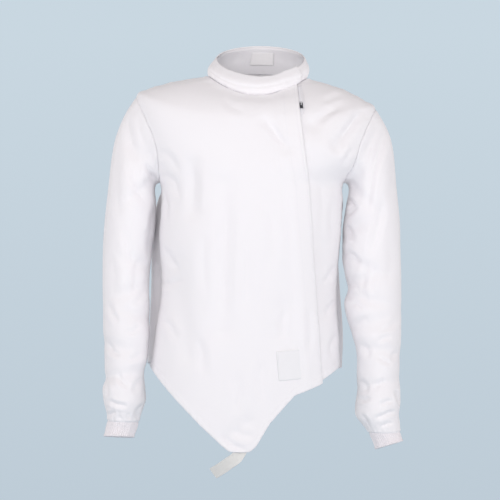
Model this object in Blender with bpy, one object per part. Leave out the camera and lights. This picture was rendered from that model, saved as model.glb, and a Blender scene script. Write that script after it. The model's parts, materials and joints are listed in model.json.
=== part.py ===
# Fencing jacket in its worn form: a main front that laps over to the wearer's left and ends in a
# pointed tongue, a left front, a waist-length back, two sleeves with knitted cuffs, and a standing
# collar. Each cut piece is a thin wall of its own. Metres, +Z up; the front faces -Y and the
# wearer's left is +X. The origin is at the base of the neck, where the shoulders carry the jacket.
#
# The body is one smooth surface given by an angle and a level. The angle runs round the body: 0 at
# the middle of the front, positive to the wearer's left, half a turn at the middle of the back.
# The level runs down it: 0 at the neckline, 1 over the shoulder points, 2 at the armpits, and one
# more for each tenth of a metre below them.

import math

import bmesh
import bpy
import numpy as np
from mathutils import Vector
from mathutils.bvhtree import BVHTree

WALL = 0.0018
SEAM_GAP = 0.0003
LINING_WALL = 0.0010
LABEL_WALL = 0.0010
CUFF_WALL = 0.0026

ARMPIT_LEVEL = 2.0
ARMPIT_Z = -0.180
LEVEL_STEP = 0.100
ARMHOLE_HALF_ANGLE = math.radians(31)

YOKE_ROWS = 6
ARMHOLE_ROWS = 11
SKIRT_ROWS = 11
MAIN_COLUMNS = 14
LEFT_COLUMNS = 5
BACK_COLUMNS = 16
SLEEVE_HEAD_ROWS = 7
SLEEVE_ARM_ROWS = 18

# The body's sections. Edges are x at the wearer's right and left; front and back are depths from
# the plane of the sides; the four heights are those of the section's sides, front and back.
BODY_COLUMNS = ("level", "right", "left", "front", "back", "z_right", "z_left", "z_front", "z_back",
                "squareness", "full_right", "full_left")
BODY_SECTIONS = (
    (0.00, -0.084, 0.101, 0.069, 0.078, 0.022, 0.018, -0.018, 0.030, 2.0, 0.000, 0.000),
    (0.33, -0.150, 0.167, 0.094, 0.100, 0.011, -0.002, -0.035, 0.010, 2.0, 0.000, 0.000),
    (0.67, -0.202, 0.214, 0.108, 0.113, -0.004, -0.026, -0.056, -0.020, 2.1, 0.000, 0.000),
    (1.00, -0.221, 0.232, 0.114, 0.120, -0.018, -0.041, -0.078, -0.050, 2.2, 0.000, 0.000),
    (1.25, -0.218, 0.231, 0.118, 0.124, -0.056, -0.075, -0.102, -0.082, 2.3, 0.000, 0.000),
    (1.50, -0.207, 0.222, 0.122, 0.126, -0.097, -0.110, -0.128, -0.114, 2.35, 0.000, 0.000),
    (1.75, -0.192, 0.203, 0.125, 0.126, -0.139, -0.145, -0.153, -0.145, 2.4, 0.000, 0.000),
    (2.00, -0.176, 0.172, 0.126, 0.124, -0.180, -0.180, -0.180, -0.180, 2.4, 0.002, 0.000),
    (3.00, -0.178, 0.166, 0.128, 0.117, -0.280, -0.280, -0.280, -0.280, 2.4, 0.028, 0.004),
    (4.00, -0.173, 0.158, 0.127, 0.110, -0.380, -0.380, -0.380, -0.380, 2.4, 0.036, 0.020),
    (5.00, -0.188, 0.163, 0.126, 0.111, -0.480, -0.480, -0.480, -0.480, 2.4, 0.025, 0.022),
    (6.00, -0.201, 0.166, 0.125, 0.114, -0.580, -0.580, -0.580, -0.580, 2.4, 0.012, 0.010),
    (7.00, -0.206, 0.170, 0.123, 0.114, -0.680, -0.680, -0.680, -0.680, 2.4, 0.000, 0.000),
)
FULL_FROM = math.radians(91)
FULL_TO = math.radians(151)

# The hem of the front, from the wearer's right to left: across the tongue's point and up again.
HEM_COLUMNS = ("x", "z")
FRONT_HEM = (
    (-0.200, -0.520),
    (-0.173, -0.552),
    (-0.145, -0.583),
    (-0.098, -0.631),
    (-0.058, -0.668),
    (-0.046, -0.678),
    (-0.024, -0.682),
    (-0.005, -0.679),
    (0.006, -0.669),
    (0.031, -0.627),
    (0.076, -0.577),
    (0.126, -0.556),
    (0.165, -0.532),
)
LEFT_HEM_RISE = 0.005
BACK_HEM_Z = -0.536

# The free edge of the main front, from the neck down to the hem.
OPENING_COLUMNS = ("z", "x")
OPENING = (
    (-0.700, 0.136),
    (-0.560, 0.128),
    (-0.255, 0.108),
    (-0.167, 0.101),
    (-0.120, 0.094),
    (-0.013, 0.083),
    (0.010, 0.082),
)
LAP_WIDTH = 0.030
LAP_RAMP = 0.020
UNDER_WIDTH = 0.028
LAP_LIFT = 0.0040

# Folds of the body, seen from the front or the back. A fold is a soft trough, or a ridge where its
# depth is negative, along the line from one end to the other.
FOLD_COLUMNS = ("x_start", "z_start", "x_end", "z_end", "half_width", "depth")
FRONT_FOLDS = (
    (0.112, -0.074, 0.158, -0.038, 0.014, 0.0050),
    (0.155, -0.115, 0.205, -0.048, 0.013, 0.0060),
    (0.110, -0.110, 0.170, -0.128, 0.022, -0.0040),
    (0.024, -0.069, 0.062, -0.120, 0.012, 0.0040),
    (-0.052, -0.190, -0.056, -0.455, 0.022, 0.0040),
    (-0.113, -0.150, -0.112, -0.235, 0.016, 0.0040),
    (0.055, -0.415, 0.052, -0.465, 0.016, 0.0030),
    (-0.150, -0.330, -0.120, -0.500, 0.020, 0.0040),
    (0.130, -0.300, 0.140, -0.420, 0.018, 0.0040),
    (-0.050, -0.655, -0.010, -0.625, 0.012, 0.0025),
)
BACK_FOLDS = (
    (-0.150, -0.120, -0.095, -0.190, 0.016, 0.0050),
    (0.155, -0.120, 0.100, -0.200, 0.016, 0.0050),
    (0.000, -0.300, -0.012, -0.500, 0.022, 0.0050),
    (0.070, -0.330, 0.085, -0.510, 0.020, 0.0045),
    (-0.085, -0.310, -0.095, -0.500, 0.020, 0.0045),
    (-0.030, -0.420, 0.050, -0.440, 0.016, 0.0030),
)

# The sleeves' sections, shoulder to wrist. Outer and inner are the section's two sides as seen from
# the front, so a section may tilt; its middle lies at y and half its depth is given beside it.
SLEEVE_COLUMNS = ("x_outer", "z_outer", "x_inner", "z_inner", "y", "half_depth")
SLEEVE_RIGHT = (
    (-0.275, -0.190, -0.1840, -0.224, 0.004, 0.066),
    (-0.282, -0.255, -0.1860, -0.268, 0.002, 0.064),
    (-0.285, -0.310, -0.1925, -0.316, -0.002, 0.061),
    (-0.285, -0.374, -0.1955, -0.376, -0.008, 0.058),
    (-0.284, -0.428, -0.1955, -0.428, -0.015, 0.056),
    (-0.283, -0.469, -0.1955, -0.467, -0.022, 0.055),
    (-0.280, -0.508, -0.1980, -0.508, -0.029, 0.052),
    (-0.280, -0.540, -0.2050, -0.540, -0.035, 0.049),
    (-0.283, -0.570, -0.2025, -0.570, -0.040, 0.050),
    (-0.280, -0.594, -0.2015, -0.590, -0.044, 0.048),
    (-0.275, -0.612, -0.2080, -0.610, -0.047, 0.041),
    (-0.273, -0.628, -0.2145, -0.630, -0.049, 0.034),
)
SLEEVE_LEFT = (
    (0.273, -0.190, 0.1770, -0.224, 0.004, 0.066),
    (0.279, -0.255, 0.1705, -0.268, 0.002, 0.064),
    (0.280, -0.310, 0.1680, -0.316, -0.002, 0.062),
    (0.281, -0.352, 0.1740, -0.352, -0.006, 0.060),
    (0.281, -0.380, 0.1760, -0.380, -0.009, 0.059),
    (0.281, -0.414, 0.1730, -0.414, -0.013, 0.058),
    (0.280, -0.467, 0.1855, -0.467, -0.021, 0.0565),
    (0.278, -0.503, 0.1955, -0.503, -0.027, 0.0545),
    (0.276, -0.540, 0.1955, -0.540, -0.033, 0.0525),
    (0.277, -0.573, 0.1945, -0.578, -0.039, 0.0510),
    (0.277, -0.596, 0.1920, -0.600, -0.043, 0.0495),
    (0.274, -0.616, 0.1925, -0.618, -0.047, 0.0445),
    (0.276, -0.634, 0.2040, -0.634, -0.049, 0.0385),
    (0.276, -0.649, 0.2170, -0.650, -0.051, 0.033),
)
# How full the sleeve's head is over the shoulder, and how long its curve keeps its two directions.
HEAD_FULLNESS = 1.1
HEAD_HANDLE = 0.40
HEAD_TURNS_BY = 0.25
HEAD_FOLDS_FROM = 0.30

# Crosswise folds of the sleeves: height, the angle round the sleeve (0 outer, a quarter front, half
# inner), half the angle that the fold spans, how far it drops in one turn, half width, depth.
SLEEVE_FOLD_COLUMNS = ("z", "angle", "half_span", "slant", "half_width", "depth")
SLEEVE_RIGHT_FOLDS = (
    (-0.120, 0.20, 0.14, 0.25, 0.020, 0.0045),
    (-0.190, 0.34, 0.12, -0.20, 0.014, 0.0050),
    (-0.335, 0.36, 0.13, 0.10, 0.013, 0.0045),
    (-0.385, 0.30, 0.16, -0.08, 0.013, 0.0050),
    (-0.430, 0.36, 0.14, 0.08, 0.012, 0.0045),
    (-0.490, 0.20, 0.20, 0.05, 0.013, 0.0045),
    (-0.545, 0.12, 0.25, -0.04, 0.011, 0.0045),
    (-0.400, 0.72, 0.18, 0.06, 0.014, 0.0050),
    (-0.470, 0.74, 0.16, -0.06, 0.013, 0.0045),
)
SLEEVE_LEFT_FOLDS = (
    (-0.110, 0.20, 0.14, 0.25, 0.020, 0.0045),
    (-0.200, 0.36, 0.12, -0.22, 0.014, 0.0055),
    (-0.270, 0.38, 0.12, 0.15, 0.013, 0.0050),
    (-0.330, 0.36, 0.15, -0.12, 0.013, 0.0055),
    (-0.366, 0.38, 0.14, 0.06, 0.011, 0.0060),
    (-0.398, 0.34, 0.16, -0.06, 0.011, 0.0060),
    (-0.445, 0.30, 0.18, 0.08, 0.013, 0.0055),
    (-0.495, 0.24, 0.20, -0.05, 0.013, 0.0050),
    (-0.560, 0.30, 0.22, 0.04, 0.012, 0.0045),
    (-0.400, 0.72, 0.18, 0.06, 0.014, 0.0050),
    (-0.470, 0.74, 0.16, -0.06, 0.013, 0.0045),
)

# The cuffs' sections, from the sleeve's end to the free edge, with the sleeves' columns.
CUFF_RIGHT = (
    SLEEVE_RIGHT[-1],
    (-0.2760, -0.640, -0.2170, -0.642, -0.051, 0.0310),
    (-0.2790, -0.656, -0.2235, -0.658, -0.053, 0.0320),
)
CUFF_LEFT = (
    SLEEVE_LEFT[-1],
    (0.2780, -0.657, 0.2235, -0.664, -0.053, 0.0305),
    (0.2800, -0.665, 0.2295, -0.680, -0.055, 0.0315),
)
CUFF_ROWS = 3

# The collar: its top edge is a smaller ring that rises from the front to the back.
COLLAR_TOP = {"right": -0.069, "left": 0.098, "front": 0.060, "back": 0.083}
COLLAR_TOP_FRONT_Z = 0.017
COLLAR_TOP_BACK_Z = 0.087
COLLAR_SWELL = 0.008
COLLAR_SWELL_POWER = 0.9
COLLAR_RISE_POWER = 0.85
COLLAR_ROWS = 5
COLLAR_TUCK = 0.0025
COLLAR_TUCK_RAMP = 0.012
LINING_COLUMN_RANGE = (5, 34)
COLLAR_SEAM_GAP = 0.0005
LINING_MARGIN = 0.36

NECK_LABEL = {"angle": math.radians(-184), "half_angle": math.radians(14),
              "low": 0.34, "high": 0.80}
HEM_LABEL = {"x": 0.069, "z": -0.520, "width": 0.047, "height": 0.054, "lean": math.radians(5)}
LABEL_GAP = 0.0005
PROBE_REACH = 0.020

# The zip runs under the lap and comes out beside its edge at the neck.
TAPE_WALL = 0.0007
TAPE_GAP = 0.0006
TAPE_HALF_WIDTH = 0.0070
ZIP_HIDDEN_OFFSET = -0.0105
ZIP_TOP_OFFSET = 0.0040
ZIP_TURNS_OUT = (-0.075, -0.045)
SLIDER_Z = -0.0380
SLIDER_GAP = 0.0004
SLIDER_SIZE = (0.0072, 0.0100, 0.0020)
BRIDGE_WIDTH = 0.0022
BRIDGE_REACH = 0.0030
BRIDGE_HEIGHT = 0.0028
BRIDGE_BAR = 0.0007
BRIDGE_BITE = 0.0002
PULL_THICKNESS = 0.0011
PULL_WIDTH = 0.0056
PULL_LENGTH = 0.0120
PULL_WINDOW = (0.0032, 0.0048)
PULL_CLEARANCE = 0.0004

# The crotch strap's middle line, from where it is sewn behind the tongue to its free end. The
# first two rows are the sewn end; behind is how far the strap lies behind that end.
STRAP_COLUMNS = ("x", "behind", "z")
STRAP_LINE = (
    (-0.0100, 0.0000, -0.6500),
    (-0.0160, 0.0000, -0.6640),
    (-0.0290, 0.0035, -0.6890),
    (-0.0450, 0.0130, -0.7025),
    (-0.0610, 0.0280, -0.7150),
    (-0.0750, 0.0460, -0.7250),
)
STRAP_PROBE_Y = -0.105
STRAP_GAP = 0.0006
STRAP_SEWN_ROWS = 4
STRAP_WIDTH = 0.022
STRAP_WALL = 0.0018
STRAP_ROWS = 9

SHARP_ANGLE = math.radians(50)
CLOTH_WHITE = (0.87, 0.87, 0.90)
CUFF_WHITE = (0.86, 0.82, 0.86)
LINING_WHITE = (0.80, 0.81, 0.85)
LABEL_WHITE = (0.82, 0.83, 0.84)
STRAP_GREY = (0.72, 0.71, 0.68)
ZIP_GREY = (0.55, 0.56, 0.60)
PULL_DARK = (0.03, 0.03, 0.04)


def clear_scene():
    for old in list(bpy.data.objects):
        bpy.data.objects.remove(old, do_unlink=True)


def column(rows, columns, name):
    return np.array([row[columns.index(name)] for row in rows], dtype=float)


def smooth(knots, values, at):
    """A smooth curve through the values at the knots, read at any places between them."""
    slopes = np.gradient(values, knots)
    at = np.clip(at, knots[0], knots[-1])
    left = np.clip(np.searchsorted(knots, at, side="right") - 1, 0, len(knots) - 2)
    step = knots[left + 1] - knots[left]
    t = (at - knots[left]) / step
    return (values[left] * (1 + 2 * t) * (1 - t) ** 2
            + slopes[left] * step * t * (1 - t) ** 2
            + values[left + 1] * t ** 2 * (3 - 2 * t)
            + slopes[left + 1] * step * t ** 2 * (t - 1))


def ease(t):
    t = np.clip(t, 0.0, 1.0)
    return t * t * (3 - 2 * t)


def unit(vectors):
    lengths = np.linalg.norm(vectors, axis=-1, keepdims=True)
    return vectors / np.maximum(lengths, 1e-12)


def body_value(name, level):
    levels = column(BODY_SECTIONS, BODY_COLUMNS, "level")
    return smooth(levels, column(BODY_SECTIONS, BODY_COLUMNS, name), level)


def body_point(angle, level):
    """A point of the body's surface, before its folds."""
    angle, level = np.broadcast_arrays(np.asarray(angle, dtype=float), np.asarray(level, dtype=float))
    right, left = body_value("right", level), body_value("left", level)
    power = body_value("squareness", level)
    reach = (np.abs(np.sin(angle)) ** power + np.abs(np.cos(angle)) ** power) ** (-1 / power)
    across, along = reach * np.sin(angle), reach * np.cos(angle)
    x = (left + right) / 2 + (left - right) / 2 * across
    y = np.where(along > 0, -body_value("front", level) * along, -body_value("back", level) * along)
    turned = np.abs((angle + math.pi) % (2 * math.pi) - math.pi)
    swell = np.sin(math.pi * np.clip((turned - FULL_FROM) / (FULL_TO - FULL_FROM), 0, 1)) ** 2
    fullness = np.where(across < 0, -body_value("full_right", level), body_value("full_left", level))
    x = x + fullness * swell
    z_side = np.where(across < 0, body_value("z_right", level), body_value("z_left", level))
    z_middle = np.where(along > 0, body_value("z_front", level), body_value("z_back", level))
    z = z_middle + (z_side - z_middle) * np.sin(angle) ** 2
    return np.stack([x, y, z], axis=-1)


def surface_normals(surface, first, second, inward=False):
    """Normals of a surface given by two numbers, outward when the second runs down the piece."""
    small = 1e-3
    along_first = surface(first + small, second) - surface(first - small, second)
    along_second = surface(first, second + small) - surface(first, second - small)
    normals = unit(np.cross(along_second, along_first))
    return -normals if inward else normals


def body_normal(angle, level):
    angle, level = np.broadcast_arrays(np.asarray(angle, dtype=float), np.asarray(level, dtype=float))
    return surface_normals(body_point, angle, np.maximum(level, 2e-3))


def fold_depth(points, folds):
    """How far the folds push the points in, seen along the view."""
    total = np.zeros(points.shape[:-1])
    x, z = points[..., 0], points[..., 2]
    for x_start, z_start, x_end, z_end, half_width, depth in folds:
        line = np.array([x_end - x_start, z_end - z_start])
        length = math.hypot(*line)
        along = ((x - x_start) * line[0] + (z - z_start) * line[1]) / length ** 2
        off = ((x - x_start) * line[1] - (z - z_start) * line[0]) / length
        beyond = np.maximum(np.abs(along - 0.5) - 0.5, 0) * length
        total += depth * np.exp(-(off ** 2 + beyond ** 2) / half_width ** 2)
    return total


def body_cloth(angle, level, lift=0.0):
    """A point of the worn cloth: the body's surface with its folds, moved out by the lift."""
    points = body_point(angle, level)
    normals = body_normal(angle, level)
    facing = ease(3.0 * np.abs(np.cos(angle)))
    front = np.cos(angle) > 0
    depth = np.where(front, fold_depth(points, FRONT_FOLDS), fold_depth(points, BACK_FOLDS)) * facing
    return points + normals * (lift - depth)[..., None]


def level_of_height(z):
    return ARMPIT_LEVEL + (ARMPIT_Z - z) / LEVEL_STEP


def hem_level(angle, rise=0.0):
    """The level of the hem at an angle round the body."""
    angle = np.asarray(angle, dtype=float)
    front_x, front_z = column(FRONT_HEM, HEM_COLUMNS, "x"), column(FRONT_HEM, HEM_COLUMNS, "z")
    level = np.full(angle.shape, level_of_height(BACK_HEM_Z))
    for _ in range(6):
        x = body_point(angle, level)[..., 0]
        level = level_of_height(np.interp(x, front_x, front_z))
    side_z = np.where(np.sin(angle) < 0, front_z[0], front_z[-1])
    back_z = BACK_HEM_Z + (side_z - BACK_HEM_Z) * np.sin(angle) ** 4
    behind = np.cos(angle) < 0
    return np.where(behind, level_of_height(back_z), level) - rise / LEVEL_STEP


def angle_of_share(share, level):
    """The angle on the front where the body's surface is at a share of its half width."""
    power = body_value("squareness", level)
    share = np.clip(share, -0.97, 0.97)
    return np.arctan(share / (1 - np.abs(share) ** power) ** (1 / power))


def opening_angle(level):
    """The angle at which the main front's free edge lies, at a level."""
    level = np.asarray(level, dtype=float)
    opening_z = column(OPENING, OPENING_COLUMNS, "z")
    opening_x = column(OPENING, OPENING_COLUMNS, "x")
    right, left = body_value("right", level), body_value("left", level)
    angle = np.full(level.shape, 0.6)
    for _ in range(6):
        z = body_point(angle, level)[..., 2]
        x = smooth(opening_z, opening_x, z)
        angle = angle_of_share((x - (left + right) / 2) / ((left - right) / 2), level)
    return angle


def angle_beside(angle, level, distance):
    """The angle that lies a distance along the cloth from another, at the same level."""
    small = 1e-3
    step = body_point(angle + small, level) - body_point(angle - small, level)
    return angle + distance * 2 * small / np.linalg.norm(step, axis=-1)


def lap_lift(angle, level):
    """How far the main front stands out near its free edge, where it lies over the zip."""
    edge = opening_angle(level)
    start = angle_beside(edge, level, -(LAP_WIDTH + LAP_RAMP))
    end = angle_beside(edge, level, -LAP_WIDTH)
    return LAP_LIFT * ease((angle - start) / (end - start))


def body_rows():
    """Levels above the armpit, shared by the fronts, the back and the sleeves' armholes."""
    yoke = np.linspace(0, 1, YOKE_ROWS + 1)[:-1]
    turn = np.linspace(0, math.pi, ARMHOLE_ROWS + 1)
    return np.concatenate([yoke, 1 + (1 - np.cos(turn)) / 2])


def side_angles():
    """How far round the body the panels' side edges lie, row by row, with the armholes cut out."""
    turn = np.linspace(0, math.pi, ARMHOLE_ROWS + 1)
    armhole = math.pi / 2 - ARMHOLE_HALF_ANGLE * np.sin(turn)
    seam = math.pi / 2
    return np.concatenate([np.full(YOKE_ROWS, seam), armhole, np.full(SKIRT_ROWS, seam)])[:, None]


def main_columns(side, level):
    """Angles of the main front: from the side seam to the lap, then two steps across the lap."""
    edge = opening_angle(level)
    start = angle_beside(edge, level, -(LAP_WIDTH + LAP_RAMP))
    share = np.minimum(np.arange(level.shape[1]) / MAIN_COLUMNS, 1)
    angle = -side * (1 - share) + start * share
    for step, distance in enumerate((LAP_WIDTH, LAP_WIDTH / 2, 0.0), start=MAIN_COLUMNS + 1):
        angle[:, step] = angle_beside(edge, level, -distance)[:, step]
    return angle


def left_columns(side, level):
    """Angles of the left front: two steps under the lap, then on to the side seam."""
    edge = opening_angle(level)
    share = np.maximum(np.arange(level.shape[1]) - 2, 0) / LEFT_COLUMNS
    angle = edge * (1 - share) + side * share
    for step, distance in enumerate((UNDER_WIDTH, LAP_WIDTH / 2)):
        angle[:, step] = angle_beside(edge, level, -distance)[:, step]
    return angle


def back_columns(side, level):
    share = np.arange(level.shape[1]) / BACK_COLUMNS
    return (math.pi - side) * (1 - share) + (math.pi + side) * share


# Each body panel's columns, how many there are, and how far its hem lies above the hem's outline.
PANELS = {
    "front_main": (main_columns, MAIN_COLUMNS + 4, 0.0),
    "front_left": (left_columns, LEFT_COLUMNS + 3, LEFT_HEM_RISE),
    "back": (back_columns, BACK_COLUMNS + 1, 0.0),
}


def panel_grid(name):
    """Angles and levels of a body panel, row by row from the neckline to the hem."""
    columns, count, rise = PANELS[name]
    upper = np.repeat(body_rows()[:, None], count, axis=1)
    down = np.linspace(0, 1, SKIRT_ROWS + 1)[1:, None]
    hem = np.full(count, level_of_height(BACK_HEM_Z))
    for _ in range(8):
        level = np.concatenate([upper, ARMPIT_LEVEL + down * (hem - ARMPIT_LEVEL)])
        angle = columns(side_angles(), level)
        hem = hem_level(angle[-1], rise)
    return angle, level


ALL = slice(None)
EDGES = {"top": (0, ALL), "bottom": (-1, ALL), "first": (ALL, 0), "last": (ALL, -1)}
INSIDE = {"top": (1, ALL), "bottom": (-2, ALL), "first": (ALL, 1), "last": (ALL, -2)}


def pulled_in(points, normals, edges, closed=False):
    """The points with the named edges drawn half a seam gap back from their seams."""
    moved = points.copy()
    for edge in edges:
        line = points[EDGES[edge]]
        if closed:
            tangent = np.roll(line, -1, axis=0) - np.roll(line, 1, axis=0)
        else:
            tangent = np.gradient(line, axis=0)
        into = unit(np.cross(normals[EDGES[edge]], tangent))
        inside = points[INSIDE[edge]] - line
        into *= np.sign(np.sum(into * inside, axis=-1, keepdims=True))
        moved[EDGES[edge]] += into * SEAM_GAP / 2
    return moved


def plain_material(name, colour, roughness, metallic=0.0):
    material = bpy.data.materials.new(name)
    material.use_nodes = True
    shader = next(n for n in material.node_tree.nodes if n.bl_idname == "ShaderNodeBsdfPrincipled")
    shader.inputs["Base Color"].default_value = (*colour, 1.0)
    shader.inputs["Roughness"].default_value = roughness
    shader.inputs["Metallic"].default_value = metallic
    return material


def add_object(name, bm, colour, roughness, metallic=0.0):
    bmesh.ops.recalc_face_normals(bm, faces=bm.faces)
    mesh = bpy.data.meshes.new(name)
    bm.to_mesh(mesh)
    bm.free()
    mesh.shade_smooth()
    mesh.set_sharp_from_angle(angle=SHARP_ANGLE)
    mesh.materials.append(plain_material(name, colour, roughness, metallic))
    piece = bpy.data.objects.new(name, mesh)
    bpy.context.collection.objects.link(piece)
    return piece


def wall(name, outer, normals, thickness, colour, roughness, closed=False):
    """A cloth wall: the outer points, a second skin behind them, and rims round the edges."""
    inner = outer - normals * thickness
    rows, columns = outer.shape[:2]
    bm = bmesh.new()
    skins = []
    for skin in (outer, inner):
        skins.append([[bm.verts.new(skin[r, c]) for c in range(columns)] for r in range(rows)])
    spans = columns if closed else columns - 1

    def quad(a, b, c, d):
        bm.faces.new((a, b, c, d))

    for r in range(rows - 1):
        for c in range(spans):
            n = (c + 1) % columns
            out, back = skins
            quad(out[r][c], out[r + 1][c], out[r + 1][n], out[r][n])
            quad(back[r][c], back[r][n], back[r + 1][n], back[r + 1][c])
    for r in (0, rows - 1):
        for c in range(spans):
            n = (c + 1) % columns
            ring = (skins[0][r][c], skins[0][r][n], skins[1][r][n], skins[1][r][c])
            quad(*(ring if r == 0 else ring[::-1]))
    if not closed:
        for c in (0, columns - 1):
            for r in range(rows - 1):
                strip = (skins[0][r][c], skins[1][r][c], skins[1][r + 1][c], skins[0][r + 1][c])
                quad(*(strip if c == 0 else strip[::-1]))
    return add_object(name, bm, colour, roughness)


def body_panel(name, angle, level, lift, edges):
    normals = body_normal(angle, level)
    points = pulled_in(body_cloth(angle, level, lift), normals, edges)
    return wall(name, points, normals, WALL, CLOTH_WHITE, 0.55)


def make_front_main():
    angle, level = panel_grid("front_main")
    return body_panel("front_main", angle, level, lap_lift(angle, level), ("top", "first"))


def make_front_left():
    angle, level = panel_grid("front_left")
    return body_panel("front_left", angle, level, np.zeros(angle.shape), ("top", "last"))


def make_back():
    angle, level = panel_grid("back")
    return body_panel("back", angle, level, np.zeros(angle.shape), ("top", "first", "last"))


def armhole_place(turn, side):
    """The body's angle and level at a turn round an armhole: 0 shoulder point, a quarter front."""
    level = 1 + (1 - np.cos(turn)) / 2
    return side * (math.pi / 2 - ARMHOLE_HALF_ANGLE * np.sin(turn)), level


def armhole_point(turn, side):
    return body_cloth(*armhole_place(turn, side))


def section_point(rows, turn, station):
    """A point of a tube given by sections, at a turn round it and a station along it."""
    knots = np.arange(len(rows), dtype=float)
    value = {name: smooth(knots, column(rows, SLEEVE_COLUMNS, name), station) for name in SLEEVE_COLUMNS}
    out, round_front = np.cos(turn), np.sin(turn)
    x = (value["x_outer"] + value["x_inner"]) / 2 + (value["x_outer"] - value["x_inner"]) / 2 * out
    z = (value["z_outer"] + value["z_inner"]) / 2 + (value["z_outer"] - value["z_inner"]) / 2 * out
    y = value["y"] - value["half_depth"] * round_front
    return np.stack([x, y, z], axis=-1)


def sleeve_surface(rows, side):
    """The sleeve before its folds. Station -1 is the armhole and 0 the first section."""

    def head_point(turn, station):
        t = np.clip(station + 1, 0, 1)[..., None]
        small = 1e-2
        start = armhole_point(turn, side)
        end = section_point(rows, turn, np.zeros_like(station))
        round_hole = unit(armhole_point(turn + small, side) - armhole_point(turn - small, side))
        out_of_body = unit(np.cross(round_hole, body_normal(*armhole_place(turn, side)))) * -side
        chord = end - start
        reach = np.linalg.norm(chord, axis=-1, keepdims=True)
        sideways = np.array([side * HEAD_FULLNESS, 0.0, 0.0]) * np.abs(np.cos(turn))[..., None]
        leave = unit(out_of_body + unit(chord) + sideways) * reach * HEAD_HANDLE
        down = unit(section_point(rows, turn, np.full_like(station, small)) - end) * reach * HEAD_HANDLE
        return (start * (1 - t) ** 3 + 3 * (start + leave) * (1 - t) ** 2 * t
                + 3 * (end - down) * (1 - t) * t ** 2 + end * t ** 3)

    def surface(turn, station):
        turn, station = np.broadcast_arrays(np.asarray(turn, dtype=float), np.asarray(station, dtype=float))
        arm = section_point(rows, turn, np.maximum(station, 0))
        return np.where((station < 0)[..., None], head_point(turn, station), arm)

    return surface


def sleeve_fold_depth(points, turn, folds):
    total = np.zeros(turn.shape)
    share = turn / (2 * math.pi)
    for z, angle, half_span, slant, half_width, depth in folds:
        away = (share - angle + 0.5) % 1.0 - 0.5
        off = points[..., 2] - z + slant * away
        total += depth * np.exp(-(off / half_width) ** 2 - (away / half_span) ** 2)
    return total


def make_sleeve(name, rows, side, folds):
    around = 2 * ARMHOLE_ROWS
    turn = np.linspace(0, 2 * math.pi, around, endpoint=False)
    head = np.linspace(-1, 0, SLEEVE_HEAD_ROWS + 1)
    arm = np.linspace(0, len(rows) - 1, SLEEVE_ARM_ROWS + 1)[1:]
    station = np.concatenate([head, arm])
    turn, station = np.meshgrid(turn, station)
    surface = sleeve_surface(rows, side)
    smooth_points = surface(turn, station)
    small = 1e-3
    inner_station = np.clip(station, -1 + small, len(rows) - 1 - small)
    normals = surface_normals(surface, turn, inner_station) * -side
    seam = body_normal(*armhole_place(turn, side))
    share = ease((station + 1) / HEAD_TURNS_BY)[..., None]
    normals = unit(seam * (1 - share) + normals * share)
    fading = ease((station + 1) / HEAD_FOLDS_FROM) * ease(len(rows) - 1 - station)
    points = smooth_points - normals * (sleeve_fold_depth(smooth_points, turn, folds) * fading)[..., None]
    points = pulled_in(points, normals, ("top", "bottom"), closed=True)
    return wall(name, points, normals, WALL, CLOTH_WHITE, 0.55, closed=True)


def make_cuff(name, rows, side):
    around = 2 * ARMHOLE_ROWS
    turn = np.linspace(0, 2 * math.pi, around, endpoint=False)
    turn, station = np.meshgrid(turn, np.linspace(0, len(rows) - 1, CUFF_ROWS + 1))
    small = 1e-3
    inner_station = np.clip(station, small, len(rows) - 1 - small)

    def surface(a, b):
        return section_point(rows, a, b)

    normals = surface_normals(surface, turn, inner_station) * -side
    points = pulled_in(surface(turn, station), normals, ("top",), closed=True)
    return wall(name, points, normals, CUFF_WALL, CUFF_WHITE, 0.8, closed=True)


def collar_point(angle, height):
    """A point of the collar: height 0 on the neckline, 1 at the top edge."""
    angle, height = np.broadcast_arrays(np.asarray(angle, dtype=float), np.asarray(height, dtype=float))
    base = body_point(angle, np.zeros(angle.shape))
    middle = (COLLAR_TOP["left"] + COLLAR_TOP["right"]) / 2
    half = (COLLAR_TOP["left"] - COLLAR_TOP["right"]) / 2
    depth = np.where(np.cos(angle) > 0, COLLAR_TOP["front"], COLLAR_TOP["back"])
    rise = ((1 - np.cos(angle)) / 2) ** COLLAR_RISE_POWER
    top = np.stack([middle + half * np.sin(angle), -depth * np.cos(angle),
                    COLLAR_TOP_FRONT_Z + (COLLAR_TOP_BACK_Z - COLLAR_TOP_FRONT_Z) * rise], axis=-1)
    outward = np.stack([np.sin(angle), -np.cos(angle), np.zeros(angle.shape)], axis=-1)
    share = height[..., None]
    swell = COLLAR_SWELL * np.sin(math.pi * share) ** COLLAR_SWELL_POWER
    return base * (1 - share) + top * share + outward * swell


def collar_normal(angle, height):
    inner_height = np.clip(height, 2e-3, 1 - 2e-3)
    return surface_normals(collar_point, angle, inner_height, inward=True)


def collar_angles():
    """Once round the neck, from the lap's edge to the end under it, at the columns of the panels."""
    neck = {name: panel_grid(name)[0][0] for name in PANELS}
    turn = 2 * math.pi
    return np.concatenate([neck["front_main"][::-1], neck["back"][::-1][1:] - turn,
                           neck["front_left"][::-1][1:] - turn])


def collar_tuck(angle, level):
    """How far the collar's end under the lap is drawn in, so that it clears the main front."""
    edge = opening_angle(level)
    clear = angle_beside(edge, level, COLLAR_TUCK_RAMP)
    return COLLAR_TUCK * (1 - ease((angle + 2 * math.pi - edge) / (clear - edge)))


def collar_grid():
    angle = collar_angles()
    angle, height = np.meshgrid(angle, np.linspace(1, 0, COLLAR_ROWS + 1))
    neckline = np.zeros(angle.shape)
    lift = lap_lift(angle, neckline)
    normals = collar_normal(angle, height)
    points = collar_point(angle, height) + normals * (lift - collar_tuck(angle, neckline))[..., None]
    seam = body_cloth(angle, neckline, lift) + np.array([0.0, 0.0, COLLAR_SEAM_GAP])
    share = ease(height * COLLAR_ROWS)[..., None]
    return seam * (1 - share) + points * share, normals


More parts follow.
